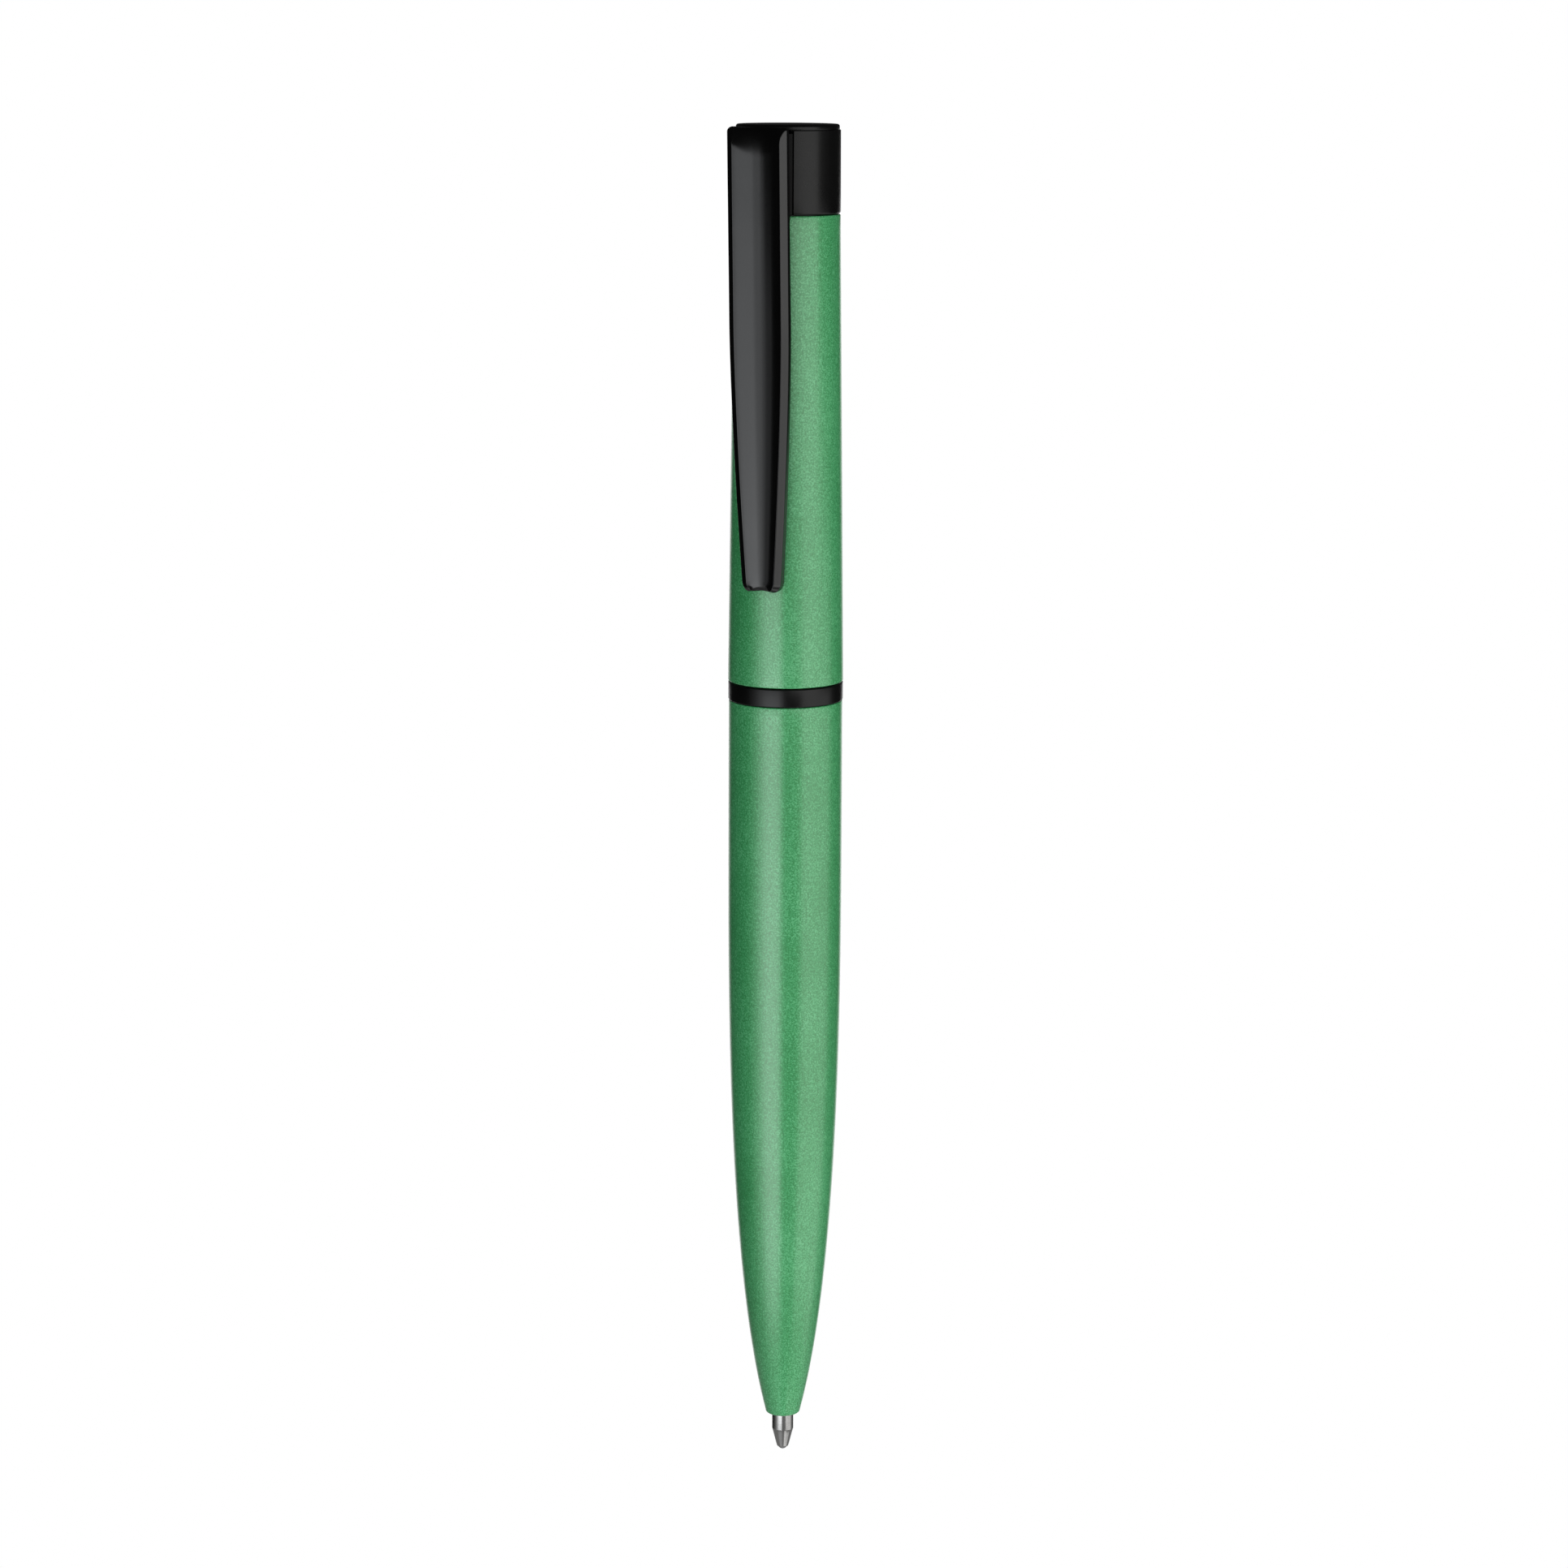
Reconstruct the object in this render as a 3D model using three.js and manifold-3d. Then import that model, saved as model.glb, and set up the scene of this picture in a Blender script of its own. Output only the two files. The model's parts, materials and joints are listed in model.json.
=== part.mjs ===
// Twist-action ballpoint pen, point out, clip on the -Y side.
// Millimetres, +Z towards the cap. The origin is on the axis at the seam under the upper barrel.
import * as THREE from 'three';
import { mergeVertices } from 'three/addons/utils/BufferGeometryUtils.js';
import Module from 'manifold-3d';

const wasm = await Module();
wasm.setup();

// Lengths of the outside, from the cap down to the point
const plateThickness = 0.55;
const capHeight = 8.4;
const upperBarrelLength = 47.28;
const ringHeight = 1.87;
const lowerBarrelLength = 77.1;
const seamGap = 0.1;
const pointReach = 4.2;

// Radii of the outside
const plateRadius = 5.2;
const capTopRadius = 5.32;
const capBaseRadius = 5.36;
const upperTopRadius = 5.335;
const upperSeamRadius = 5.925;
const upperSwell = 0.012;
const ringRadius = 5.9;
const lowerTopRadius = 5.845;
const lowerRadius = 5.866;
const noseRadius = 1.85;

// How the lower barrel draws in: where the taper starts, and how long it holds each end's direction
const taperStart = 17.8;
const taperHold = 13.5;
const noseHold = 16.0;

// Small edge roundings
const plateEdge = 0.32;
const capEdge = 0.25;
const barrelEdge = 0.12;
const ringEdge = 0.12;
const noseEdge = 0.3;

// Walls
const upperWall = 0.55;
const lowerWall = 0.8;
const capWall = 0.85;
const guideWall = 0.6;

// Clearances
const pressFit = 0.04;
const runningFit = 0.07;
const facePlay = 0.1;
const windowPlay = 0.08;

// Refill of the short metal kind, tube and point
const refillLength = 98.5;
const refillRadius = 2.95;
const refillWall = 0.3;
const refillPlay = 0.14;
const refillShoulder = 2.2;
const neckWall = 0.41;
const neckLength = 3.4;
const neckSeat = 3.0;
const plugHead = 2.0;
const plugSpigot = 3.0;
const plugNotches = 6;
const plugNotchWidth = 0.8;
const plugNotchDepth = 0.7;
const ventRadius = 0.5;
const inkLength = 62;
const pointRadius = 1.15;
const pointCone = 2.4;
const pointLength = 9.05;
const pointLipWall = 0.07;
const pointChannel = 0.28;
const ballRadius = 0.5;
const ballPlay = 0.03;
const ballShowing = 0.32;

// Return spring in the nose
const springWire = 0.36;
const springRadius = 1.95;
const springTurns = 4;
const springEndPlay = 0.05;
const springPlay = 0.15;

// Twist mechanism
const twistAngle = Math.PI;
const pointTravel = 5.5;
const threadLength = 8.6;
const threadRoot = 4.05;
const threadHeight = 0.35;
const threadPitch = 1.3;
const threadFoot = 0.36;
const threadCrest = 0.15;
const threadTurns = 3.5;
const threadPlay = 0.06;
const collarHeight = 3.0;
const collarStep = 0.18;
const frictionSection = 0.34;
const sleeveBeyond = 5.15;
const guideTip = 1.0;
const snapRingWire = 0.5;
const snapRingDepth = 0.3;
const snapRingOpening = Math.PI / 5;
const washerThickness = 0.5;
const plungerLength = 14;
const pinRadius = 0.7;
const pinHeight = 5;
const pinPlay = 0.05;

// Cap, clip holder and their screw
const spigotLength = 6;
const holderHeight = 6.4;
const capRoof = 1.6;
const stemRadius = 1.45;
const screwRadius = 0.9;
const screwHeadRadius = 1.6;
const screwHeadHeight = 0.9;
const screwSlotWidth = 0.45;
const hingePinRadius = 0.6;
const hingePinLength = 4.6;
const hingeOffset = 2.4;
const hingeHeight = 4.1;
const tongueWidth = 2.4;
const tongueHeight = 2.6;
const tongueWall = 0.4;
const tonguePlay = 0.2;
const tongueRoom = 0.35;
const windowSink = 0.4;
const webInset = 0.6;

// Clip: a bar with a hollow front between two bevels, rolled over at both ends, on a web
const clipLength = 46.2;
const clipDrop = 0.12;
const clipTopWidth = 6.4;
const clipTipWidth = 4.1;
const clipTopReach = 8.14;
const clipTipReach = 6.61;
const clipBevelWidth = 0.68;
const clipBevelDepth = 0.56;
const clipHollowAngle = 16;
const clipTopSide = 0.45;
const clipTipSide = 0.85;
const clipTaperStart = 19.8;
const clipTopRoll = { depth: 0.85, height: 1.75, crescent: 1.25 };
const clipTipRoll = { depth: 0.3, height: 0.2, crescent: 0.4 };
const clipTopCorner = 0.25;
const clipTipCorner = 0.6;
const clipTipCornerHeight = 0.9;
const clipBevelLeft = 0.03;
const clipTopArch = 0.08;
const clipTipArch = 0.13;
const clipTipGap = 0.12;
const webWidth = 4.95;
const webDrop = 0.3;
const webCorner = 0.5;
const gussetDrop = 4.2;

// Facets, how far a cutting tool passes the surface it cuts, and how deep a ridge is sunk in its core
const outerSides = 48;
const innerSides = 32;
const smallSides = 20;
const clipStations = 8;
const overshoot = 1;
const ridgeSink = 0.1;

// Heights that follow from the lengths
const capBottom = upperBarrelLength + seamGap;
const capTop = capBottom + capHeight;
const plateTop = capTop + plateThickness;
const ringTop = -seamGap;
const ringBottom = ringTop - ringHeight;
const lowerTop = ringBottom - seamGap;
const noseEnd = lowerTop - lowerBarrelLength;
const ballEnd = noseEnd - pointReach;
const ballHeight = ballEnd + ballRadius;
const refillTop = ballEnd + refillLength;
const neckEnd = ballEnd + pointLength;
const shoulderStart = neckEnd + neckLength;
const shoulderEnd = shoulderStart + refillShoulder;

// Radii that follow from the walls and clearances
const upperBore = upperTopRadius - upperWall;
const lowerBore = lowerTopRadius - lowerWall;
const insertRadius = lowerBore - pressFit;
const refillBore = refillRadius + refillPlay;
const springBore = springRadius + springWire / 2 + springPlay;
const pointBore = pointRadius + runningFit;
const guideRadius = refillBore + guideWall;
const sleeveBore = guideRadius + runningFit;
const sleeveRadius = upperBore - pressFit;
const plungerRadius = refillBore - runningFit;
const collarRadius = upperBore - collarStep;
const ringBore = lowerBore - collarStep;
const spigotRadius = upperBore - pressFit;
const capBore = spigotRadius - capWall;

// Radius of the upper barrel's side at a height
function upperSide(height) {
  const share = height / upperBarrelLength;
  const straight = THREE.MathUtils.lerp(upperSeamRadius, upperTopRadius, share);
  return straight + 4 * upperSwell * share * (1 - share);
}

// Points of a round edge, from one angle to another in degrees
function roundEdge(centreRadius, centreHeight, radius, from, to, steps = 3) {
  const points = [];
  for (let i = 0; i <= steps; i++) {
    const angle = THREE.MathUtils.degToRad(THREE.MathUtils.lerp(from, to, i / steps));
    points.push([centreRadius + radius * Math.cos(angle), centreHeight + radius * Math.sin(angle)]);
  }
  return points;
}

// Joins equal vertices, drops flat triangles and turns the faces outwards
function tidy(geometry) {
  geometry.deleteAttribute('normal');
  geometry.deleteAttribute('uv');
  const merged = mergeVertices(geometry, 1e-4);
  const index = [];
  for (let i = 0; i < merged.index.count; i += 3) {
    const [a, b, c] = [0, 1, 2].map((k) => merged.index.getX(i + k));
    if (a !== b && b !== c && c !== a) {
      index.push(a, b, c);
    }
  }
  const corner = [new THREE.Vector3(), new THREE.Vector3(), new THREE.Vector3()];
  let volume = 0;
  for (let i = 0; i < index.length; i += 3) {
    corner.forEach((point, k) => point.fromBufferAttribute(merged.attributes.position, index[i + k]));
    volume += corner[0].dot(corner[1].cross(corner[2])) / 6;
  }
  if (volume < 0) {
    index.reverse();
  }
  merged.setIndex(index);
  merged.computeVertexNormals();
  return merged;
}

// Solid of revolution about the Z axis, from an outline of [radius, height] points
function turned(outline, sides) {
  const points = outline.map(([radius, height]) => new THREE.Vector2(radius, height));
  points.push(points[0].clone());
  const geometry = new THREE.LatheGeometry(points, sides);
  geometry.rotateX(Math.PI / 2);
  return tidy(geometry);
}

// Skin through rings of points, each ring running along one side and back along the other
function lofted(rings) {
  const size = rings[0].length;
  const index = [];
  for (let i = 0; i < rings.length - 1; i++) {
    for (let j = 0; j < size; j++) {
      const k = (j + 1) % size;
      const [a, b, c, d] = [i * size + j, i * size + k, (i + 1) * size + k, (i + 1) * size + j];
      index.push(a, b, c, a, c, d);
    }
  }
  for (let j = 0; j < size / 2 - 1; j++) {
    const [a, b, c, d] = [j, j + 1, size - 2 - j, size - 1 - j];
    const last = (rings.length - 1) * size;
    index.push(a, d, c, a, c, b);
    index.push(last + a, last + b, last + c, last + a, last + c, last + d);
  }
  const geometry = new THREE.BufferGeometry();
  geometry.setAttribute('position', new THREE.Float32BufferAttribute(rings.flat(2), 3));
  geometry.setIndex(index);
  return tidy(geometry);
}

// Prism along X, from an outline of [y, z] points, centred on the YZ plane
function prismAcross(outline, width) {
  const shape = new THREE.Shape(outline.map(([y, z]) => new THREE.Vector2(y, z)));
  const geometry = new THREE.ExtrudeGeometry(shape, { depth: width, bevelEnabled: false });
  geometry.translate(0, 0, -width / 2);
  geometry.applyMatrix4(new THREE.Matrix4().set(0, 0, 1, 0, 1, 0, 0, 0, 0, 1, 0, 0, 0, 0, 0, 1));
  return tidy(geometry);
}

// Round bar along X
function barAcross(radius, length, y, z, sides = smallSides) {
  const geometry = new THREE.CylinderGeometry(radius, radius, length, sides);
  geometry.rotateZ(Math.PI / 2);
  geometry.translate(0, y, z);
  return tidy(geometry);
}

function block(sizeX, sizeY, sizeZ, x, y, z) {
  const geometry = new THREE.BoxGeometry(sizeX, sizeY, sizeZ);
  geometry.translate(x, y, z);
  return tidy(geometry);
}

// Solids for cutting and joining
function solid(geometry) {
  return new wasm.Manifold(new wasm.Mesh({
    numProp: 3,
    vertProperties: new Float32Array(geometry.attributes.position.array),
    triVerts: new Uint32Array(geometry.index.array),
  }));
}

function fromSolid(body) {
  const mesh = body.getMesh();
  const geometry = new THREE.BufferGeometry();
  geometry.setAttribute('position', new THREE.BufferAttribute(new Float32Array(mesh.vertProperties), 3));
  geometry.setIndex(new THREE.BufferAttribute(new Uint32Array(mesh.triVerts), 1));
  return tidy(geometry);
}

function cut(geometry, tools) {
  return fromSolid(tools.reduce((body, tool) => body.subtract(solid(tool)), solid(geometry)));
}

function join(geometries) {
  return fromSolid(geometries.slice(1).reduce((body, more) => body.add(solid(more)), solid(geometries[0])));
}

// Ridge that winds round the Z axis: a trapezium between two radii, rising along the turns
function windingRidge(inner, outer, innerHalf, outerHalf, turns, pitch, base) {
  const steps = Math.round(turns * innerSides);
  const rings = [];
  for (let i = 0; i <= steps; i++) {
    const angle = (2 * Math.PI * i) / innerSides;
    const height = base + (pitch * angle) / (2 * Math.PI);
    const corner = (radius, offset) => [radius * Math.cos(angle), radius * Math.sin(angle), height + offset];
    rings.push([
      corner(inner, -innerHalf),
      corner(outer, -outerHalf),
      corner(outer, outerHalf),
      corner(inner, innerHalf),
    ]);
  }
  return lofted(rings);
}

// The outside of the lower barrel below its top edge, as points from the top to the nose
function lowerSide() {
  const edgeEnd = [lowerTopRadius, lowerTop - barrelEdge];
  const swell = new THREE.QuadraticBezierCurve(
    new THREE.Vector2(...edgeEnd),
    new THREE.Vector2(lowerRadius, lowerTop - taperStart / 2),
    new THREE.Vector2(lowerRadius, lowerTop - taperStart),
  );
  const taper = new THREE.CubicBezierCurve(
    new THREE.Vector2(lowerRadius, lowerTop - taperStart),
    new THREE.Vector2(lowerRadius, lowerTop - taperStart - taperHold),
    new THREE.Vector2(lowerRadius, noseEnd + noseHold),
    new THREE.Vector2(noseRadius, noseEnd + noseEdge),
  );
  return [...swell.getPoints(3), ...taper.getPoints(15).slice(1)].map((point) => [point.x, point.y]);
}

function lowerBarrel() {
  const side = lowerSide();
  const seat = neckEnd - facePlay;
  const boreEnd = shoulderEnd - refillShoulder / 4;
  const socketEnd = lowerTop - threadLength - 2 * facePlay;
  const inside = side
    .filter((point, i) => i % 2 === 0)
    .map(([radius, height]) => [radius - lowerWall, height])
    .filter(([radius, height]) => height < socketEnd && height > boreEnd && radius > refillBore)
    .reverse();
  const mouth = 0.1;
  return turned([
    [lowerBore, lowerTop],
    ...roundEdge(lowerTopRadius - barrelEdge, lowerTop - barrelEdge, barrelEdge, 90, 0, 2),
    ...side.slice(1, -1),
    ...roundEdge(noseRadius - noseEdge, noseEnd + noseEdge, noseEdge, 0, -90),
    [pointBore + mouth, noseEnd],
    [pointBore, noseEnd + mouth],
    [pointBore, seat],
    [springBore, seat],
    [springBore, boreEnd - (refillBore - springBore)],
    [refillBore, boreEnd],
    ...inside,
    [lowerBore, socketEnd],
  ], outerSides);
}

// Threaded insert pressed into the lower barrel
function barrelInsert() {
  const bore = threadRoot + threadPlay;
  const tube = turned([
    [bore, -threadLength],
    [insertRadius, -threadLength],
    [insertRadius, 0],
    [bore + threadHeight, 0],
    [bore, -threadHeight],
  ], innerSides);
  const groove = windingRidge(
    bore - ridgeSink,
    bore + threadHeight,
    threadPitch * threadFoot + threadPlay,
    threadPitch * threadCrest + threadPlay,
    threadTurns,
    threadPitch,
    threadBase() - lowerTop + facePlay,
  );
  return cut(tube, [groove]);
}

// Height at which the thread's first turn starts, above the lower end of the threaded nose
function threadBase() {
  return lowerTop - threadLength + threadPitch;
}

function centreRing() {
  return turned([
    [ringBore + pressFit, 0],
    ...roundEdge(ringRadius - ringEdge, ringEdge, ringEdge, -90, 0, 2),
    ...roundEdge(ringRadius - ringEdge, ringHeight - ringEdge, ringEdge, 0, 90, 2),
    [ringBore + pressFit, ringHeight],
  ], outerSides);
}

// Heights of the mechanism, up from the seam
const plungerBottom = refillTop + facePlay;
const pinCentre = plungerBottom + pinHeight;
const sleeveBottom = collarHeight + facePlay;
const sleeveTop = pinCentre + pointTravel + pinRadius + sleeveBeyond;
const washerBottom = sleeveTop + facePlay;
const snapRingBottom = washerBottom + washerThickness + facePlay;
const guideTop = snapRingBottom + snapRingWire + guideTip;

// Body that screws into the lower barrel, carries the ring and guides the plunger
function mechanismBody() {
  const nose = lowerTop - threadLength;
  const chamfer = 0.25;
  const ringFriction = upperBore - pressFit - frictionSection;
  const grooveFloor = ringFriction - frictionSection - pressFit;
  const grooveHalf = frictionSection + pressFit;
  const grooveCentre = collarHeight / 2;
  const snapGroove = snapRingBottom - pressFit;
  const body = turned([
    [refillBore, nose],
    [threadRoot - chamfer, nose],
    [threadRoot, nose + chamfer],
    [threadRoot, lowerTop],
    [ringBore, lowerTop],
    [ringBore, ringTop],
    [collarRadius, ringTop],
    [collarRadius, grooveCentre - grooveHalf],
    [grooveFloor, grooveCentre - grooveHalf],
    [grooveFloor, grooveCentre + grooveHalf],
    [collarRadius, grooveCentre + grooveHalf],
    [collarRadius, collarHeight],
    [guideRadius, collarHeight],
    [guideRadius, snapGroove],
    [guideRadius - snapRingDepth, snapGroove],
    [guideRadius - snapRingDepth, snapGroove + snapRingWire + 2 * pressFit],
    [guideRadius, snapGroove + snapRingWire + 2 * pressFit],
    [guideRadius, guideTop - chamfer],
    [guideRadius - chamfer, guideTop],
    [refillBore, guideTop],
  ], innerSides);
  const thread = windingRidge(
    threadRoot - ridgeSink,
    threadRoot + threadHeight,
    threadPitch * threadFoot,
    threadPitch * threadCrest,
    threadTurns,
    threadPitch,
    threadBase(),
  );
  const slotWidth = 2 * (pinRadius + pinPlay);
  const across = 2 * (guideRadius + overshoot);
  const slot = [
    block(across, slotWidth, pointTravel, 0, 0, pinCentre + pointTravel / 2),
    barAcross(slotWidth / 2, across, 0, pinCentre),
    barAcross(slotWidth / 2, across, 0, pinCentre + pointTravel),
  ];
  return cut(join([body, thread]), slot);
}

// Ring of soft round section that gives the twist its friction
function frictionRing() {
  const centre = upperBore - pressFit - frictionSection;
  const section = roundEdge(centre, 0, frictionSection, 0, 315, 7);
  return turned(section, innerSides);
}

// Sleeve pressed into the upper barrel, with two helical slots that drive the pin
function camSleeve() {
  const tube = turned([
    [sleeveBore, sleeveBottom],
    [sleeveRadius, sleeveBottom],
    [sleeveRadius, sleeveTop],
    [sleeveBore, sleeveTop],
  ], innerSides);
  const beyond = 0.3;
  const lead = (pointTravel * 2 * Math.PI) / twistAngle;
  const steepest = Math.atan(lead / (2 * Math.PI * sleeveBore));
  const half = (pinRadius + pinPlay) / Math.cos(steepest);
  const tools = [];
  for (const side of [0, Math.PI]) {
    const helix = windingRidge(
      sleeveBore - beyond,
      sleeveRadius + beyond,
      half,
      half,
      twistAngle / (2 * Math.PI),
      -lead,
      pinCentre + pointTravel,
    );
    helix.rotateZ(side);
    tools.push(helix);
    for (const [turn, height] of [[0, pinCentre + pointTravel], [twistAngle, pinCentre]]) {
      const length = sleeveRadius - sleeveBore + 2 * beyond;
      const end = new THREE.CylinderGeometry(pinRadius + pinPlay, pinRadius + pinPlay, length, smallSides);
      end.rotateZ(Math.PI / 2);
      end.translate((sleeveRadius + sleeveBore) / 2, 0, height);
      end.rotateZ(side + turn);
      tools.push(tidy(end));
    }
  }
  return cut(tube, tools);
}

function thrustWasher() {
  return turned([
    [sleeveBore, 0],
    [sleeveRadius - pressFit, 0],
    [sleeveRadius - pressFit, washerThickness],
    [sleeveBore, washerThickness],
  ], innerSides);
}

// Open ring that snaps into the groove above the washer
function snapRing() {
  const inner = guideRadius - snapRingDepth + pressFit;
  const outer = guideRadius + snapRingWire;
  const half = snapRingOpening / 2;
  const shape = new THREE.Shape();
  shape.absarc(0, 0, outer, half, 2 * Math.PI - half, false);
  shape.absarc(0, 0, inner, 2 * Math.PI - half, half, true);
  return tidy(new THREE.ExtrudeGeometry(shape, { depth: snapRingWire, bevelEnabled: false, curveSegments: 15 }));
}

// Plunger that pushes the refill, bored from above, with a cross hole for the pin
function plunger() {
  const chamfer = 0.3;
  const bore = plungerRadius / 2;
  const floor = pinHeight + pinRadius + 2 * chamfer;
  const bar = turned([
    [0, 0],
    [plungerRadius - chamfer, 0],
    [plungerRadius, chamfer],
    [plungerRadius, plungerLength - chamfer],
    [plungerRadius - chamfer, plungerLength],
    [bore, plungerLength],
    [bore, floor],
    [0, floor],
  ], innerSides);
  return cut(bar, [barAcross(pinRadius + pressFit / 2, 2 * (plungerRadius + overshoot), 0, pinHeight)]);
}

function followerPin() {
  return barAcross(pinRadius, 2 * (sleeveRadius - facePlay), 0, 0);
}

// Metal tube of the refill, drawn in to a neck at the point's end
function refillTube() {
  const neckBore = pointRadius + pressFit;
  const neckRadius = neckBore + neckWall;
  const bore = refillRadius - refillWall;
  const top = refillTop - plugHead;
  return turned([
    [neckBore, neckEnd],
    [neckRadius, neckEnd],
    [neckRadius, shoulderStart],
    [refillRadius, shoulderEnd],
    [refillRadius, top],
    [bore, top],
    [bore, shoulderEnd + refillWall],
    [neckBore, shoulderStart + refillWall],
  ], innerSides);
}

// Notched plug in the upper end of the refill
function refillPlug() {
  const spigot = refillRadius - refillWall - pressFit;
  const chamfer = 0.3;
  const body = turned([
    [ventRadius, -plugSpigot],
    [spigot - chamfer, -plugSpigot],
    [spigot, -plugSpigot + chamfer],
    [spigot, 0],
    [refillRadius, 0],
    [refillRadius, plugHead - chamfer],
    [refillRadius - chamfer, plugHead],
    [ventRadius, plugHead],
  ], innerSides);
  const notches = [];
  for (let i = 0; i < plugNotches; i++) {
    const notch = block(refillRadius, plugNotchWidth, 2 * plugNotchDepth, refillRadius, 0, plugHead);
    notch.rotateZ((2 * Math.PI * i) / plugNotches);
    notches.push(notch);
  }
  return cut(body, notches);
}

function ink() {
  const radius = refillRadius - refillWall - pressFit;
  const foot = shoulderEnd + 2 * refillWall;
  return turned([
    [0, foot],
    [radius, foot],
    [radius, foot + inkLength],
    [0, foot + inkLength],
  ], innerSides);
}

// Turned point: a cylinder, a cone and the socket whose lip holds the ball
function pointHolder() {
  const socket = ballRadius + ballPlay;
  const lipAngle = THREE.MathUtils.radToDeg(Math.asin((ballShowing - ballRadius) / socket));
  const mouthAngle = THREE.MathUtils.radToDeg(Math.acos(pointChannel / socket));
  const lipHeight = ballEnd + ballShowing;
  const top = neckEnd + neckSeat;
  const cup = roundEdge(0, ballHeight, socket, lipAngle, mouthAngle, 6).reverse();
  return turned([
    [pointChannel, top],
    ...cup,
    [socket + pointLipWall, lipHeight],
    [pointRadius, ballEnd + pointCone],
    [pointRadius, top],
  ], innerSides);
}

function ball() {
  return tidy(new THREE.SphereGeometry(ballRadius, 16, 12));
}

// Return spring between the seat in the nose and the refill's shoulder, as one unbroken tube
function returnSpring() {
  const neckRadius = pointRadius + pressFit + neckWall;
  const slope = refillShoulder / (refillRadius - neckRadius);
  const lowest = neckEnd - facePlay + springWire / 2 + springEndPlay;
  const shoulderAt = shoulderStart + (springRadius - neckRadius) * slope;
  const highest = shoulderAt - (springWire / 2 + springEndPlay) * Math.hypot(1, slope);
  const stepsPerTurn = 12;
  const sectionSides = 6;
  const steps = springTurns * stepsPerTurn;
  const rings = [];
  const centres = [];
  for (let i = 0; i <= steps; i++) {
    const angle = (2 * Math.PI * i) / stepsPerTurn;
    const height = THREE.MathUtils.lerp(lowest, highest, i / steps);
    centres.push(new THREE.Vector3(springRadius * Math.cos(angle), springRadius * Math.sin(angle), height));
    const ring = [];
    for (let j = 0; j < sectionSides; j++) {
      const turn = (2 * Math.PI * j) / sectionSides;
      const radius = springRadius + (springWire / 2) * Math.cos(turn);
      ring.push([
        radius * Math.cos(angle),
        radius * Math.sin(angle),
        height + (springWire / 2) * Math.sin(turn),
      ]);
    }
    rings.push(ring);
  }
  let least = Infinity;
  for (let i = 0; i < centres.length; i++) {
    for (let j = i + stepsPerTurn / 2; j < centres.length; j++) {
      least = Math.min(least, centres[i].distanceTo(centres[j]) - springWire);
    }
  }
  console.log(`return_spring: least gap to itself ${least.toFixed(2)} mm`);
  return lofted(rings);
}

function upperBarrel() {
  const side = [];
  for (let i = 0; i <= 6; i++) {
    const height = THREE.MathUtils.lerp(barrelEdge, upperBarrelLength - barrelEdge, i / 6);
    side.push([upperSide(height), height]);
  }
  return turned([
    [upperBore, 0],
    ...roundEdge(upperSide(0) - barrelEdge, barrelEdge, barrelEdge, -90, 0, 2).slice(0, -1),
    ...side,
    ...roundEdge(upperTopRadius - barrelEdge, upperBarrelLength - barrelEdge, barrelEdge, 0, 90, 2).slice(1),
    [upperBore, upperBarrelLength],
  ], outerSides);
}

// Cap with a spigot for the barrel's bore and a window for the clip's web, open at the top
function topCap() {
  const chamfer = 0.2;
  const stemBore = stemRadius + pressFit;
  const body = turned([
    [capBore, -spigotLength],
    [spigotRadius - chamfer, -spigotLength],
    [spigotRadius, -spigotLength + chamfer],
    [spigotRadius, 0],
    ...roundEdge(capBaseRadius - capEdge, capEdge, capEdge, -90, 0),
    [capTopRadius, capHeight],
    [stemBore, capHeight],
    [stemBore, capHeight - capRoof],
    [capBore, capHeight - capRoof],
  ], outerSides);
  const depth = capBaseRadius - windowEnd() + overshoot;
  const height = capHeight + overshoot;
  const window = block(webWidth + 2 * windowPlay, depth, height, 0, -windowEnd() - depth / 2, height / 2);
  return cut(body, [window]);
}

// Distance from the axis at which the window in the cap ends
function windowEnd() {
  return capBore - windowSink;
}

// Core inside the cap, slotted for the clip's tongue and bored for the hinge pin and the screw
function clipHolder() {
  const radius = capBore - pressFit;
  const chamfer = 0.25;
  const body = turned([
    [screwRadius + runningFit, 0],
    [radius - chamfer, 0],
    [radius, chamfer],
    [radius, holderHeight - chamfer],
    [radius - chamfer, holderHeight],
    [screwRadius + runningFit, holderHeight],
  ], innerSides);
  const pinAbove = capBottom + hingeHeight - holderBottom();
  const slotEnd = hingeOffset - hingePinRadius - tongueWall - tonguePlay;
  const slotDepth = radius + overshoot - slotEnd;
  const slot = block(
    tongueWidth + 2 * windowPlay,
    slotDepth,
    tongueHeight + 2 * tongueRoom,
    0,
    -slotEnd - slotDepth / 2,
    pinAbove,
  );
  const pinLength = hingePinLength + facePlay;
  return cut(body, [slot, barAcross(hingePinRadius + pressFit / 2, pinLength, -hingeOffset, pinAbove)]);
}

function holderBottom() {
  return capTop - capRoof - facePlay - holderHeight;
}

function hingePin() {
  return barAcross(hingePinRadius, hingePinLength, 0, 0);
}

// Disc on top of the cap, with a stem that takes the screw
function capPlate() {
  const stem = capRoof - facePlay;
  const thread = screwRadius + pressFit / 2;
  const roof = 0.3;
  return turned([
    [0, -roof],
    [thread, -roof],
    [thread, -stem],
    [stemRadius, -stem],
    [stemRadius, 0],
    [plateRadius, 0],
    ...roundEdge(plateRadius - plateEdge, plateThickness - plateEdge, plateEdge, 0, 90),
    [0, plateThickness],
  ], outerSides);
}

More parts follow.
